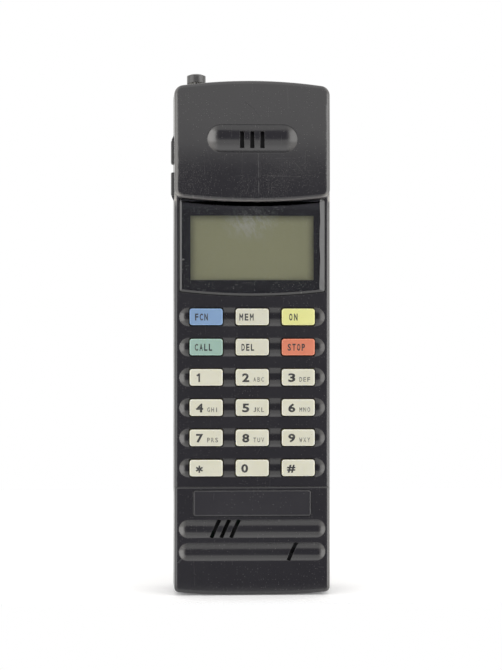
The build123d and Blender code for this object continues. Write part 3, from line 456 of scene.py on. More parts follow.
# Long scores on the head and chin: from x, z to x, z and the width, in millimetres, and the strength.
FRONT_SCORES = (
    (2.2, 140.5, 2.1, 155.5, 0.22, 0.9),
    (12.6, 171.5, 12.5, 179.0, 0.16, 0.5),
    (-0.1, 177.0, 0.0, 179.6, 0.22, 0.6),
    (3.6, 147.6, 16.9, 147.3, 0.16, 0.6),
    (-7.6, 147.3, -3.2, 147.7, 0.12, 0.4),
    (-16.6, 142.0, -16.9, 155.0, 0.16, 0.35),
    (-3.4, 141.0, -3.6, 156.0, 0.14, 0.3),
    (-20.3, 3.5, -20.6, 13.0, 0.14, 0.45),
    (23.3, 9.9, 25.3, 9.8, 0.20, 0.5),
    (-16.2, 157.2, -13.9, 149.5, 0.14, 0.35),
    (0.7, 144.2, 0.6, 141.1, 0.20, 0.45),
    (5.4, 145.4, 5.6, 141.1, 0.20, 0.45),
    (6.6, 144.6, 6.7, 141.6, 0.16, 0.35),
    (10.5, 147.0, 10.1, 143.0, 0.16, 0.35),
    (18.6, 156.5, 18.4, 149.4, 0.14, 0.35),
    (7.8, 153.8, 14.5, 153.9, 0.14, 0.30),
    (-11.9, 153.4, -9.9, 154.4, 0.16, 0.45),
    (-26.0, 11.8, -24.4, 13.4, 0.60, 0.55),
)
# One dark hairline curves down to the dish.
DARK_SCORES = ((-3.2, 174.2, 0.4, 171.6, 0.14), (0.4, 171.6, 2.8, 167.9, 0.14))
case_gloss = {"roughness": 0.20, "wear": 0.8, "dusty": 0.35, "shine": 0.85}
case_front = satin_plastic(
    "case_front", case_colour, rubbed_colour, scored=FRONT_SCORES, **case_gloss
)

# Painted highlights: the head's rounded sides are lightened, most on the left, and so are the body's
# right edge, the head's lower corners and the left ends of the grooves, where the side boxes catch them.
head_from = (136.5 * mm, 138.5 * mm)
corner_from = (23.5 * mm, 27 * mm)
lip_from = (138.6 * mm, 139.6 * mm)
lip_to = (140 * mm, 142.5 * mm)
right_from = (20 * mm, 24 * mm)
body_to = (136 * mm, 138 * mm)
groove_end_to = (-24 * mm, -21 * mm)
grooves_to = (120 * mm, 123 * mm)
tree = case_front.node_tree
surface = tree.nodes["Principled BSDF"].inputs
facing = wire(tree, "SeparateXYZ", {0: wire(tree, "TexCoord").outputs["Normal"]}).outputs
place = wire(tree, "SeparateXYZ", {0: wire(tree, "TexCoord").outputs["Object"]}).outputs
tilt = maths(tree, "ABSOLUTE", facing["X"])
forward = times(tree, facing["Y"], -1.0)
aside = maths(tree, "ABSOLUTE", place["X"])
turned = times(tree, step(tree, tilt, 0.12, 0.55), drop(tree, tilt, 0.90, 0.99))
on_head = step(tree, place["Z"], *head_from)
side_painted_highlight = times(tree, turned, on_head, step(tree, place["X"], -10 * mm, 10 * mm, 1.0, 0.62))
right_edge_painted_highlight = times(tree, turned, step(tree, place["X"], *right_from), drop(tree, place["Z"], *body_to))
corner = times(
    tree, step(tree, aside, *corner_from), step(tree, place["Z"], *lip_from),
    drop(tree, place["Z"], *lip_to),
)
lip_corner_painted_highlight = times(tree, corner, step(tree, forward, 0.20, 0.45), drop(tree, forward, 0.80, 0.97))
groove_end_painted_highlight = times(
    tree, step(tree, facing["X"], 0.10, 0.45), drop(tree, place["X"], *groove_end_to),
    drop(tree, place["Z"], *grooves_to),
)
shade = surface["Base Color"].links[0].from_socket
# Painted highlights, blended over the case's own colour.
shade = blend(tree, times(tree, side_painted_highlight, 0.95), shade, painted_highlight_colour)
shade = blend(tree, times(tree, right_edge_painted_highlight, 0.7), shade, painted_highlight_colour)
shade = blend(tree, times(tree, lip_corner_painted_highlight, 0.6), shade, corner_highlight_colour)
shade = blend(tree, times(tree, groove_end_painted_highlight, 0.7), shade, painted_highlight_colour)

# Lint lies on the lower half of the head. Under the head's ledge the colour is lightened, painted light
# in the ledge's shadow, and the upper edge of its dish is darkened, a painted shade line, joined by a
# dark hairline scratch.
lint_to = (146 * mm, 158 * mm)
dish_straight = 10.75 * mm  # half of it
dish_end = 5.08 * mm  # radius
dish_top_from = (-1.0 * mm, 2.5 * mm)
dish_shade_width = (0.06 * mm, 0.20 * mm)
# Painted light: the downward faces under the head's ledge are lightened, to fill their shadow.
ledge_painted_light = times(tree, drop(tree, facing["Z"], -0.9, -0.6), on_head)
shade = blend(tree, times(tree, ledge_painted_light, 0.8), shade, (0.20, 0.19, 0.19, 1))
# Painted shade: a dark line along the upper edge of the dish, where its rim shades it, joined with the
# dark hairline scratches.
low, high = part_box("earpiece")
from_middle = maths(tree, "SUBTRACT", place["Z"], (low[2] + high[2]) / 2)
from_end = maths(tree, "MAXIMUM", maths(tree, "SUBTRACT", aside, dish_straight), 0.0)
spot = wire(tree, "CombineXYZ", {"X": from_end, "Y": from_middle}).outputs[0]
off_edge = maths(tree, "ABSOLUTE", maths(tree, "SUBTRACT", length(tree, spot), dish_end))
dish_shade_and_dark_scores = times(tree, drop(tree, off_edge, *dish_shade_width), step(tree, from_middle, *dish_top_from))
for line in DARK_SCORES:
    dish_shade_and_dark_scores = maths(tree, "MAXIMUM", dish_shade_and_dark_scores, times(tree, scratch(tree, *line), 0.8))
lint = place_group(tree, dust, Scale=2300.0, Amount=0.75, Size=0.34)["Mask"]
low_head = times(tree, on_head, drop(tree, place["Z"], *lint_to))
shade = blend(tree, times(tree, lint, low_head, 0.22), shade, dust_colour)
tree.links.new(blend(tree, dish_shade_and_dark_scores, shade, (0.002, 0.002, 0.003, 1)), surface["Base Color"])
gloss = surface["Roughness"].links[0].from_socket
tree.links.new(maths(tree, "ADD", gloss, times(tree, dish_shade_and_dark_scores, 0.6)), surface["Roughness"])
dress(case_front, "front_cover")
case_black = satin_plastic("case_black", case_colour, rubbed_colour, **case_gloss)
dress(case_black, "rear_cover", "battery_case")


# Main board and switches
# A green glass-fibre board with tinned lands, carrying the keypad contacts and two side switches.
board_colour = (0.012, 0.085, 0.035, 1)
track_colour = (0.022, 0.135, 0.055, 1)
board_green, tree, surface = new_material("board_green", roughness=0.35)
where = wire(tree, "TexCoord").outputs["Object"]
routes = wire(
    tree, "TexVoronoi", {"Vector": where, "Scale": 420},
    distance="MANHATTAN", feature="DISTANCE_TO_EDGE",
)
copper = drop(tree, routes.outputs["Distance"], 0.07, 0.10)
tree.links.new(blend(tree, copper, board_colour, track_colour), surface["Base Color"])
emboss(tree, surface, copper, 0.03 * mm)
dress(board_green, "main_board", "cell_board")

inner_black = satin_plastic(
    "inner_black", (0.012, 0.012, 0.013, 1), (0.04, 0.04, 0.04, 1),
    roughness=0.5, wear=0.2, dusty=0.1,
)
dress(
    inner_black, "side_switches", "earpiece", "ringer", "aerial_guide", "charge_jack",
    "system_connector", "battery_contacts", "battery_lid",
)


# Screening cans
# Tin-plated steel cans soldered over the logic and radio halves of the board.
def rolled_metal(name, colour, roughness, scale=2500, tarnish=0.25):
    """A rolled or plated metal: fine lines along its height, and patches of tarnish."""
    material, tree, surface = new_material(name, metallic=1.0)
    where = wire(tree, "TexCoord").outputs["Object"]
    drawn = vectors(tree, "MULTIPLY", where, (1, 1, 0.02))
    lines = noise(tree, drawn, scale, 3)
    dull = place_group(tree, smudges, Scale=120.0)["Value"]
    dark = tuple(c * 0.62 for c in colour[:3]) + (1,)
    tree.links.new(blend(tree, times(tree, dull, tarnish), colour, dark), surface["Base Color"])
    gloss = step(tree, lines, 0.3, 0.7, roughness - 0.06, roughness + 0.06)
    gloss = maths(tree, "ADD", gloss, times(tree, dull, 0.12))
    tree.links.new(gloss, surface["Roughness"])
    edges = place_group(tree, soft_edges, Radius=0.12 * mm)
    emboss(tree, surface, lines, 0.006 * mm, Normal=edges["Normal"])
    return material


shield_tin = rolled_metal("shield_tin", (0.62, 0.62, 0.60, 1), 0.32)
dress(shield_tin, "logic_shield", "rf_shield")
silver_plate = rolled_metal("silver_plate", (0.78, 0.77, 0.74, 1), 0.28, scale=1800, tarnish=0.4)
dress(silver_plate, "duplexer", "power_amplifier")


# Display
# A twisted-nematic glass cell over a white light guide, in a white holder on the board.
# It shows nothing, so the polariser's plain olive is all that is seen, with painted shade darkening it
# towards its rim.
olive = (0.430, 0.424, 0.262, 1)
olive_pale = (0.480, 0.474, 0.300, 1)
olive_painted_shade = (0.25, 0.25, 0.155, 1)
smear_grey = (0.60, 0.61, 0.58, 1)

# A dull smear on the pane, seen against what lies behind its upper middle.
smear_left = 0.7 * mm  # of the window's middle
smear_down = 8.5 * mm  # from the window's top
smear_shape = (85, 0, 125)  # one over its half width, and over its half height, in metres
smear, given, result = shader_group("smear", {"Strength": 0.5}, {"Mask": "Float"})
low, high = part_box("display_window")
where = wire(smear, "TexCoord").outputs["Object"]
centre = ((low[0] + high[0]) / 2 - smear_left, 0, high[2] - smear_down)
around = vectors(smear, "MULTIPLY", vectors(smear, "SUBTRACT", where, centre), smear_shape)
soft = drop(smear, length(smear, around), 0.0, 1.0)
wiped = wire(smear, "VectorRotate", {"Vector": where, "Angle": 0.5}, rotation_type="Y_AXIS").outputs[0]
wiped = vectors(smear, "MULTIPLY", wiped, (1, 1, 0.45))
wisps = noise(smear, wiped, 520, 7, Roughness=0.78)
broken = step(smear, wisps, 0.42, 0.62, 0.15, 1.0)
smear.links.new(times(smear, soft, broken, given["Strength"]), result["Mask"])

# Painted shade: the glass is darkened towards its rim, where the printed frame above it shades it, by
# these distances from its middle.
lcd_sides_from = (19.0 * mm, 22 * mm)
lcd_top_from = (8.6 * mm, 11.6 * mm)
lcd_bottom_from = (-10.5 * mm, -12 * mm)
lcd_olive, tree, surface = new_material("lcd_olive", roughness=0.25)
where = wire(tree, "TexCoord").outputs["Object"]
low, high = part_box("lcd_glass")
middle = vectors(tree, "SUBTRACT", where, ((low[0] + high[0]) / 2, 0, (low[2] + high[2]) / 2))
side = wire(tree, "SeparateXYZ", {0: middle}).outputs
sides = step(tree, maths(tree, "ABSOLUTE", side["X"]), *lcd_sides_from)
top = step(tree, side["Z"], *lcd_top_from)
bottom = step(tree, side["Z"], *lcd_bottom_from)
rim = maths(tree, "MAXIMUM", sides, maths(tree, "MAXIMUM", top, bottom))
shade = blend(tree, times(tree, noise(tree, where, 60, 4), 0.5), olive, olive_pale)
shade = blend(tree, times(tree, rim, 0.6), shade, olive_painted_shade)
shade = blend(tree, place_group(tree, smear, Strength=0.80)["Mask"], shade, smear_grey)
specks = place_group(tree, dust, Scale=1500.0, Amount=0.40, Size=0.24)["Mask"]
tree.links.new(blend(tree, times(tree, specks, 0.35), shade, smear_grey), surface["Base Color"])
emboss(tree, surface, noise(tree, where, 9000, 2), 0.004 * mm)
dress(lcd_olive, "lcd_glass")

inner_white = satin_plastic(
    "inner_white", (0.62, 0.61, 0.57, 1), (0.70, 0.69, 0.66, 1),
    roughness=0.45, wear=0.1, dusty=0.05,
)
dress(inner_white, "lcd_holder", "light_guide")

contact_rubber = satin_plastic(
    "contact_rubber", (0.17, 0.17, 0.175, 1), (0.25, 0.25, 0.25, 1),
    roughness=0.7, grain=3500.0, depth=0.03 * mm, wear=0.1, dusty=0.1,
)
dress(contact_rubber, "lcd_strips", "keymat")


# Display window
# A clear acrylic window with a bevelled rim, glued over a black printed frame.
# Pockets leave it finely scratched, with dust and a dull smear at the top of the view.
mask_ink = (0.0135, 0.0135, 0.0175, 1)
# A strip of the printed frame under the head is lightened: painted light in the head's shadow, standing
# also for dust settled there.
dust_and_painted_light = (0.22, 0.21, 0.25, 1)
painted_light_from = 4.2 * mm  # beneath the window's top
painted_light_full = 2.6 * mm
white_mote = (-24.4, 118.5, -24.2, 118.5, 0.55)
mask_black, tree, surface = new_material("mask_black", roughness=0.45)
surface["Specular IOR Level"].default_value = 0.25
haze = place_group(tree, smear, Strength=0.30)["Mask"]
specks = place_group(tree, dust, Scale=1500.0, Amount=0.45, Size=0.24)["Mask"]
low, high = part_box("display_window")
height = wire(tree, "SeparateXYZ", {0: wire(tree, "TexCoord").outputs["Object"]}).outputs["Z"]
dust_and_painted_light_strip = step(tree, height, high[2] - painted_light_from, high[2] - painted_light_full)
shade = blend(tree, times(tree, dust_and_painted_light_strip, 0.12), mask_ink, dust_and_painted_light)
shade = blend(tree, haze, shade, smear_grey)
shade = blend(tree, scratch(tree, *white_mote), shade, (0.85, 0.85, 0.85, 1))
tree.links.new(blend(tree, times(tree, specks, 0.35), shade, smear_grey), surface["Base Color"])
emboss(tree, surface, place_group(tree, mould_grain, Scale=6000.0)["Height"], 0.006 * mm)
dress(mask_black, "window_mask")

window_clear, tree, surface = new_material("window_clear")
surface["Base Color"].default_value = (0.97, 0.98, 0.96, 1)
surface["Transmission Weight"].default_value = 1.0
surface["IOR"].default_value = 1.49
marks = place_group(tree, hair_scratches, Lean=0.15, Amount=0.5)["Mask"]
for lean, across in ((1.2, 700.0), (-0.6, 600.0)):
    more = place_group(tree, hair_scratches, Across=across, Lean=lean, Amount=0.4)["Mask"]
    marks = maths(tree, "MAXIMUM", marks, more)
greasy = place_group(tree, smudges, Scale=70.0)["Value"]
gloss = maths(tree, "ADD", times(tree, greasy, 0.04), times(tree, marks, 0.15))
tree.links.new(maths(tree, "ADD", gloss, 0.03), surface["Roughness"])
emboss(tree, surface, marks, -0.003 * mm)

pane_rim = satin_plastic(
    "pane_rim", (0.030, 0.030, 0.031, 1), (0.25, 0.25, 0.24, 1),
    roughness=0.16, wear=1.0, dusty=0.3, shine=0.9,
)


def first_face(bm):
    """The only face of a bmesh."""
    bm.faces.ensure_lookup_table()
    return bm.faces[0]


def of_kind(grown, kind):
    """The vertices or the faces among what an extrusion made."""
    return [g for g in grown["geom"] if isinstance(g, kind)]


# The pane: its edges follow the arch under the head, and its rim falls away to the case, but not
# under the head. The rim is wider on the right, where the pane has warped.
pane_air = 0.04 * mm  # behind the pane, in front of the printed frame
pane_corner = 0.9 * mm
pane_arch = 215 * mm
rim_width = 1.0 * mm
rim_fall = 0.65 * mm
warp_width = 0.95 * mm
pane_extra = 0.02 * mm
flush = 0.01 * mm  # vertices nearer than this lie in one edge or one plane
low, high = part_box("display_window")
pane_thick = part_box("window_mask")[0][1] - low[1] - pane_air
pane_width = high[0] - low[0]
arch_rise = pane_arch - (pane_arch**2 - (pane_width / 2) ** 2) ** 0.5
pane_height = high[2] - low[2] - arch_rise + pane_extra

bm = bmesh.new()
bmesh.ops.create_grid(bm, x_segments=24, y_segments=12, size=0.5)
bmesh.ops.dissolve_faces(bm, faces=bm.faces, use_verts=False)
loose = [v for v in bm.verts if not v.link_faces]
bmesh.ops.delete(bm, geom=loose, context="VERTS")
bmesh.ops.scale(bm, vec=(pane_width, pane_height, 1), verts=bm.verts)
corners = [
    v for v in bm.verts if abs(v.co.x) > pane_width * 0.499 and abs(v.co.y) > pane_height * 0.499
]
bmesh.ops.bevel(
    bm, geom=corners, offset=pane_corner, segments=4, profile=0.5, affect="VERTICES", material=-1
)
for v in bm.verts:
    v.co.y += pane_arch - (pane_arch**2 - v.co.x**2) ** 0.5
view = first_face(bm)
bmesh.ops.inset_region(bm, faces=[view], thickness=rim_width, use_boundary=True)
inner = set(view.verts)
for v in bm.verts:
    top_edge = pane_height / 2 + pane_arch - (pane_arch**2 - v.co.x**2) ** 0.5
    if v not in inner and v.co.y < top_edge - flush:
        v.co.z -= rim_fall
    elif v.co.x > pane_width / 2 - rim_width - pane_corner:
        wave = sin(v.co.y / mm * 0.42) + 0.5 * sin(v.co.y / mm * 0.95 + 1.0)
        v.co.x -= warp_width * (1 + 0.16 * wave)
front_faces = bm.faces[:]
for face in front_faces:
    face.material_index = 0 if all(v.co.z > -flush for v in face.verts) else 1
grown = bmesh.ops.extrude_face_region(bm, geom=front_faces, use_keep_orig=True)
back_faces = of_kind(grown, bmesh.types.BMFace)
for v in of_kind(grown, bmesh.types.BMVert):
    v.co.z = -pane_thick
for face in bm.faces:
    if face in back_faces:
        face.material_index = 0
    elif face not in front_faces:
        face.material_index = 1
set_upright(bm, ((low[0] + high[0]) / 2, low[1], low[2] + pane_height / 2))
window_pane = finished_piece("window_pane", bm, window_clear, pane_rim)
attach(window_pane, "phone")
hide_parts("display_window")


# Keys
# Translucent moulded caps, ivory for the digits and a colour for each function, on a rubber mat.
# Their rims are rounded, with a painted highlight on them, and their sides are darkened to brown,
# painted shade in the gap around each cap.
key_rim = 0.45 * mm
key_corner = 0.9 * mm
key_lip = 0.7 * mm  # how far the lip behind the face stands out, and how thick it is
key_body = 3.3 * mm  # front to lip
plunger = (7.6 * mm, 3.0 * mm)
# How far behind the front the painted highlight on the rim begins and ends, and the painted shade on the
# sides begins.
rim_highlight_from = (0.01 * mm, 0.05 * mm)
rim_highlight_to = (0.12 * mm, 0.22 * mm)
side_shade_from = (0.16 * mm, 0.34 * mm)
KEY_COLOURS = {
    "key_blue": ((0.225, 0.350, 0.545, 1), ["key_function"]),
    "key_white": ((0.66, 0.65, 0.54, 1), ["key_memory", "key_clear"]),
    "key_yellow": ((0.76, 0.76, 0.32, 1), ["key_power"]),
    "key_green": ((0.33, 0.48, 0.42, 1), ["key_call"]),
    "key_red": ((0.70, 0.235, 0.145, 1), ["key_end"]),
    "key_ivory": ((0.69, 0.68, 0.56, 1), [f"key_{n}" for n in range(10)] + ["key_star", "key_hash"]),
}


def tinted(colour, *factors):
    """A colour with its red, green and blue each multiplied, and kept under the lightest plastic's."""
    return tuple(min(c * f, 0.92) for c, f in zip(colour[:3], factors)) + (1,)


def key_plastic(name, colour):
    """A key's plastic: a painted highlight on the rounded rim, painted brown shade down the sides."""
    material, tree, surface = new_material(name, roughness=0.35)
    surface["Subsurface Weight"].default_value = 0.25
    surface["Subsurface Radius"].default_value = (0.9 * mm, 0.8 * mm, 0.5 * mm)
    surface["Subsurface Scale"].default_value = 1.0
    place = wire(tree, "TexCoord").outputs["Object"]
    depth = maths(tree, "SUBTRACT", wire(tree, "SeparateXYZ", {0: place}).outputs["Y"], key_front)
    rim = times(tree, step(tree, depth, *rim_highlight_from), drop(tree, depth, *rim_highlight_to))
    sides = step(tree, depth, *side_shade_from)
    greasy = place_group(tree, smudges, Scale=110.0)["Value"]
    specks = place_group(tree, dust, Amount=0.12)["Mask"]
    shade = blend(tree, times(tree, greasy, 0.5), colour, tinted(colour, 0.93, 0.92, 0.86))
    # Painted highlight: the rounded rim is lightened.
    shade = blend(tree, times(tree, rim, 0.95), shade, tinted(colour, 1.42, 1.42, 1.42))
    # Painted shade: the sides are darkened to brown in the gap around the cap.
    shade = blend(tree, sides, shade, tinted(colour, 0.24, 0.18, 0.08))
    shade = blend(tree, times(tree, specks, 0.5), shade, (0.12, 0.11, 0.10, 1))
    tree.links.new(shade, surface["Base Color"])
    tree.links.new(step(tree, greasy, 0, 1, 0.42, 0.30), surface["Roughness"])
    emboss(tree, surface, place_group(tree, mould_grain, Scale=4000.0)["Height"], 0.008 * mm)
    return material


def pushed(bm, face, out, width=1.0, height=1.0):
    """Extrude a face along Z and scale it, and give back the new face."""
    grown = bmesh.ops.extrude_face_region(bm, geom=[face, *face.edges])
    verts = of_kind(grown, bmesh.types.BMVert)
    bmesh.ops.translate(bm, vec=(0, 0, out), verts=verts)
    bmesh.ops.scale(bm, vec=(width, height, 1), verts=verts)
    return of_kind(grown, bmesh.types.BMFace)[0]


def key_cap(name, material):
    """A cap with a rounded rim, the lip that keeps it in the case, and its plunger."""
    low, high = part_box(name)
    width = high[0] - low[0] - 2 * key_lip
    height = high[2] - low[2] - 2 * key_lip
    lip = (width + 2 * key_lip, height + 2 * key_lip)
    bm = rounded_plate(width, height, key_corner, 4)
    front = first_face(bm)
    rim = front.edges[:]
    back = pushed(bm, front, -key_body)
    back = pushed(bm, back, 0, lip[0] / width, lip[1] / height)
    back = pushed(bm, back, -key_lip)
    back = pushed(bm, back, 0, plunger[0] / lip[0], plunger[1] / lip[1])
    pushed(bm, back, key_body + key_lip - (high[1] - low[1]))
    bmesh.ops.bevel(
        bm, geom=rim, offset=key_rim, segments=4, profile=0.5, affect="EDGES", material=-1
    )
    set_upright(bm, ((low[0] + high[0]) / 2, low[1], (low[2] + high[2]) / 2))
    cap = finished_piece(f"{name}_cap", bm, material, rounded=True)
    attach(cap, name)
    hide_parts(name)


for name, (colour, keys) in KEY_COLOURS.items():
    material = key_plastic(name, colour)
    for key in keys:
        key_cap(key, material)


# Key legends
# Dark grey ink printed on each cap: a bold digit with a small letter group, or a function word.
# The letter groups have worn thin.
ink_depth = 0.02 * mm
group_height = 1.60 * mm
word_height = 2.45 * mm
digit_stroke = 0.55 * mm
word_stroke = 0.30 * mm
group_stroke = 0.18 * mm


def printed_ink(name, colour, worn_colour, scale, worn_from):
    """Ink that has worn thin in patches."""
    material, tree, surface = new_material(name, roughness=0.55)
    wear = noise(tree, wire(tree, "TexCoord").outputs["Object"], scale, 4, Roughness=0.7)
    shade = blend(tree, step(tree, wear, worn_from, 0.66), colour, worn_colour)
    tree.links.new(shade, surface["Base Color"])
    return material


ink = printed_ink("key_ink", (0.030, 0.030, 0.031, 1), (0.10, 0.10, 0.09, 1), 1300, 0.50)
thin_ink = printed_ink("thin_ink", (0.075, 0.075, 0.070, 1), (0.34, 0.33, 0.28, 1), 900, 0.48)

# The words: text, then in millimetres its left edge and bottom on the cap, letter width and pitch.
WORDS = {
    "key_function": ("FCN", 1.95, 1.65, 1.15, 1.65),
    "key_memory": ("MEM", 1.35, 1.65, 1.25, 1.85),
    "key_power": ("ON", 2.60, 1.65, 1.20, 1.75),
    "key_call": ("CALL", 1.85, 1.65, 1.15, 1.65),
    "key_clear": ("DEL", 2.05, 1.65, 1.15, 1.65),
    "key_end": ("STOP", 2.10, 1.65, 1.15, 1.65),
}
# The digits: text, then in millimetres its left edge and bottom on the cap, width and height.
DIGITS = {
    "key_star": ("*", 2.10, 1.35, 2.7, 2.5), "key_hash": ("#", 1.90, 1.25, 2.9, 2.8),
    "key_0": ("0", 1.97, 1.30, 2.4, 3.05), "key_1": ("1", 2.40, 1.30, 1.4, 3.05),
}
GROUPS = {"2": "ABC", "3": "DEF", "4": "GHI", "5": "JKL", "6": "MNO", "7": "PRS", "8": "TUV", "9": "WXY"}
for digit in GROUPS:
    DIGITS[f"key_{digit}"] = (digit, 2.30, 1.30, 2.5, 3.05)
# The letter groups, in millimetres.
group_left = 6.25
group_bottom = 1.40
group_width = 0.95
group_pitch = 1.40
narrow_i = 0.3  # an I's width as a share of the others'
# Characters made of bars: each bar from x, y to x, y, as shares of the character's width and height.
STROKES = {
    "1": [(0.72, 0.0, 0.72, 1.0), (0.12, 0.72, 0.72, 0.90)],
    "*": [(0.5, 0.0, 0.5, 1.0), (0.08, 0.25, 0.92, 0.75), (0.08, 0.75, 0.92, 0.25)],
    "M": [(0.1, 0.0, 0.1, 1.0), (0.9, 0.0, 0.9, 1.0), (0.1, 0.95, 0.5, 0.4), (0.5, 0.4, 0.9, 0.95)],
    "N": [(0.1, 0.0, 0.1, 1.0), (0.9, 0.0, 0.9, 1.0), (0.1, 0.95, 0.9, 0.05)],
    "W": [
        (0.06, 1.0, 0.28, 0.05), (0.28, 0.05, 0.5, 0.7), (0.5, 0.7, 0.72, 0.05), (0.72, 0.05, 0.94, 1.0),
    ],
}


def barred(bm, strokes, left, bottom, width, height, thick):
    """A character made of straight bars of ink, for the few whose outlines the font gets wrong.
    Each bar is a little deeper than the last, so that no two tops lie in one plane."""
    for count, (x0, y0, x1, y1) in enumerate(strokes):
        start = Vector((left + x0 * width, bottom + y0 * height, 0))
        end = Vector((left + x1 * width, bottom + y1 * height, 0))
        turn = Matrix.Rotation((end - start).to_2d().angle_signed(Vector((1, 0))), 4, "Z")
        deep = ink_depth * (1 + 0.08 * count)
        size = Matrix.Diagonal(((end - start).length, thick, deep, 1))
        bmesh.ops.create_cube(bm, size=1, matrix=Matrix.Translation((start + end) / 2) @ turn @ size)


def inked(bm, letter, left, bottom, width, height, boldness):
    """Add one printed character to a legend, as a thin layer of ink that stands on the cap."""
    curve = bpy.data.curves.new("letter", "FONT")
    curve.body = letter
    curve.size = 1
    curve.offset = boldness
    curve.extrude = 0.5
    curve.resolution_u = 3
    word = bpy.data.objects.new("letter", curve)
    bpy.context.scene.collection.objects.link(word)
    graph = bpy.context.evaluated_depsgraph_get()
    flat = bpy.data.meshes.new_from_object(word.evaluated_get(graph))
    bpy.data.objects.remove(word)
    print_bm = bmesh.new()
    print_bm.from_mesh(flat)
    bmesh.ops.remove_doubles(print_bm, verts=print_bm.verts, dist=1e-5)
    xs = [v.co.x for v in print_bm.verts]
    ys = [v.co.y for v in print_bm.verts]
    fit = (width / (max(xs) - min(xs)), height / (max(ys) - min(ys)), ink_depth)
    bmesh.ops.translate(print_bm, vec=(-min(xs), -min(ys), 0), verts=print_bm.verts)
    bmesh.ops.scale(print_bm, vec=fit, verts=print_bm.verts)
    bmesh.ops.translate(print_bm, vec=(left, bottom, 0), verts=print_bm.verts)
    print_bm.to_mesh(flat)
    print_bm.free()
    bm.from_mesh(flat)


def legend(key, name, text, left, bottom, width, pitch, height, boldness, thick, finish):
    """A word or a digit on one key, put together letter by letter. Thick is the width of drawn bars."""
    low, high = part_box(key)
    bm = bmesh.new()
    for count, letter in enumerate(text):
        wide = width * (narrow_i if letter == "I" else 1.0)
        start = (left + count * pitch + (width - wide) / 2) * mm
        if letter in STROKES:
            barred(bm, STROKES[letter], start, bottom * mm, wide * mm, height, thick)
        else:
            inked(bm, letter, start, bottom * mm, wide * mm, height, boldness)
    set_upright(bm, (low[0] + key_lip, low[1], low[2] + key_lip))
    piece = finished_piece(f"legend_{name}", bm, finish)
    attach(piece, key)


for key, (text, left, bottom, width, pitch) in WORDS.items():
    legend(key, key[4:], text, left, bottom, width, pitch, word_height, 0.03, word_stroke, ink)
for key, (digit, left, bottom, width, height) in DIGITS.items():
    legend(key, key[4:], digit, left, bottom, width, 0, height * mm, 0.035, digit_stroke, ink)
for digit, letters in GROUPS.items():
    legend(
        f"key_{digit}", f"{digit}_letters", letters, group_left, group_bottom, group_width, group_pitch,
        group_height, 0.012, group_stroke, thin_ink,
    )


# Earpiece, microphone and ringer
# Black capsules behind the slots of the case, each on a foam or rubber ring.
foam_black, tree, surface = new_material("foam_black", roughness=0.95)
where = wire(tree, "TexCoord").outputs["Object"]
pores = wire(tree, "TexVoronoi", {"Vector": where, "Scale": 2600}).outputs["Distance"]
shade = blend(tree, pores, (0.006, 0.006, 0.006, 1), (0.035, 0.035, 0.035, 1))
tree.links.new(shade, surface["Base Color"])
emboss(tree, surface, pores, 0.2 * mm)
dress(foam_black, "earpiece_gasket", "microphone", "microphone_boot")


# Aerial
# A plated steel whip with a black moulded cap, which slides through a nickelled bush.
whip_steel = rolled_metal("whip_steel", (0.62, 0.62, 0.61, 1), 0.22, scale=3000, tarnish=0.2)
dress(whip_steel, "aerial_whip", "latch_spring")
cap_black = satin_plastic(
    "cap_black", (0.058, 0.056, 0.054, 1), (0.10, 0.10, 0.10, 1),
    roughness=0.24, wear=0.8, dusty=0.3, shine=0.85,
)
dress(cap_black, "aerial_cap")
bush_nickel = rolled_metal("bush_nickel", (0.58, 0.54, 0.45, 1), 0.25, tarnish=0.4)
dress(bush_nickel, "aerial_bush")
contact_gold = rolled_metal("contact_gold", (0.83, 0.62, 0.27, 1), 0.22, tarnish=0.25)
dress(contact_gold, "aerial_contact", "connector_contacts", "battery_terminals")


# Battery
# A clip-on pack: nickel-cadmium cells welded with nickel straps, in a case with a pressed-in lid.
cell_nickel = rolled_metal("cell_nickel", (0.70, 0.70, 0.67, 1), 0.30, tarnish=0.3)
dress(cell_nickel, "battery_cells")
strap_nickel = rolled_metal("strap_nickel", (0.66, 0.65, 0.60, 1), 0.28, tarnish=0.3)
dress(strap_nickel, "cell_straps")
latch_black = satin_plastic(
    "latch_black", (0.013, 0.013, 0.014, 1), (0.06, 0.06, 0.06, 1),
    roughness=0.38, wear=0.8, dusty=0.3,
)
dress(latch_black, "battery_latch")


# Latch spring
# A folded strip of spring steel between the battery's lid and the latch.
low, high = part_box("latch_spring")
bm = bmesh.new()
bm.from_mesh(nodes["latch_spring"].data)
bmesh.ops.remove_doubles(bm, verts=bm.verts, dist=0.001 * mm)
latch_leaf = finished_piece("latch_leaf", bm, whip_steel)
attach(latch_leaf, "battery")
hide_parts("latch_spring")
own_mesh(latch_leaf)


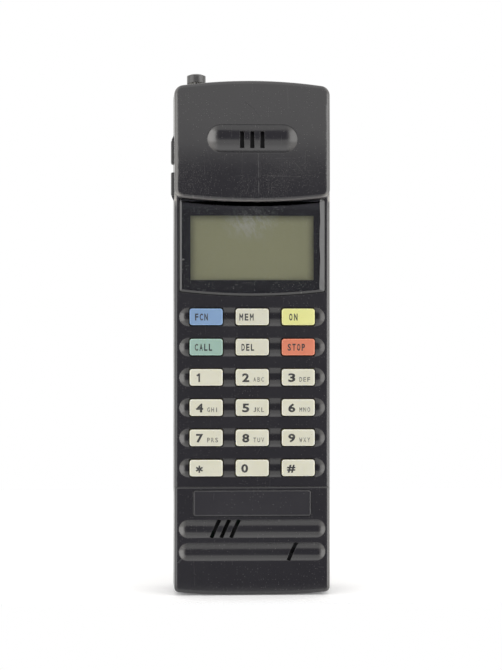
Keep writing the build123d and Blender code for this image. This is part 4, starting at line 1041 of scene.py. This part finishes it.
# Volume keys and screws
# Two black rubber keys in the left wall, and blackened steel screws in the rear cover.
side_rubber = satin_plastic(
    "side_rubber", (0.085, 0.084, 0.083, 1), (0.12, 0.12, 0.12, 1),
    roughness=0.40, depth=0.02 * mm, wear=0.5, dusty=0.4,
)
dress(side_rubber, "volume_up_key", "volume_down_key")
screw_steel = rolled_metal("screw_steel", (0.20, 0.20, 0.20, 1), 0.35, tarnish=0.5)
dress(screw_steel, "cover_screws")


# Name panel
# A plate of the case's own black plastic let into the chin, left bare, with a thin raised rim, its edges
# rubbed and its colour lightened as a painted highlight.
plate_black = satin_plastic(
    "plate_black", (0.027, 0.026, 0.029, 1), (0.07, 0.07, 0.07, 1),
    roughness=0.22, wear=0.5, dusty=0.25, shine=0.85,
)
dress(plate_black, "nameplate")
# Painted highlight: the rim's black is lighter than the case's, so that its thin line shows bright.
rim_black = satin_plastic(
    "rim_black", (0.050, 0.049, 0.052, 1), (0.12, 0.12, 0.12, 1),
    roughness=0.22, wear=0.8, dusty=0.2, shine=0.85,
)

panel_corner = 0.75 * mm
panel_rim = 0.50 * mm
panel_rise = 0.20 * mm
low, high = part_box("nameplate")
bm = rounded_plate(high[0] - low[0], high[2] - low[2], panel_corner, 4)
middle = first_face(bm)
bmesh.ops.inset_region(bm, faces=[middle], thickness=panel_rim, use_boundary=True)
bmesh.ops.delete(bm, geom=[middle], context="FACES_ONLY")
grown = bmesh.ops.extrude_face_region(bm, geom=bm.faces[:], use_keep_orig=True)
top_verts = of_kind(grown, bmesh.types.BMVert)
bmesh.ops.translate(bm, vec=(0, 0, panel_rise), verts=top_verts)
crest = [e for e in bm.edges if all(v in top_verts for v in e.verts) and e.calc_face_angle(0) > 1]
bmesh.ops.bevel(
    bm, geom=crest, offset=panel_rise * 0.9, segments=2, profile=0.5, affect="EDGES", material=-1
)
set_upright(bm, ((low[0] + high[0]) / 2, low[1], (low[2] + high[2]) / 2))
panel_line = finished_piece("panel_rim", bm, rim_black, rounded=True)
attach(panel_line, "phone")
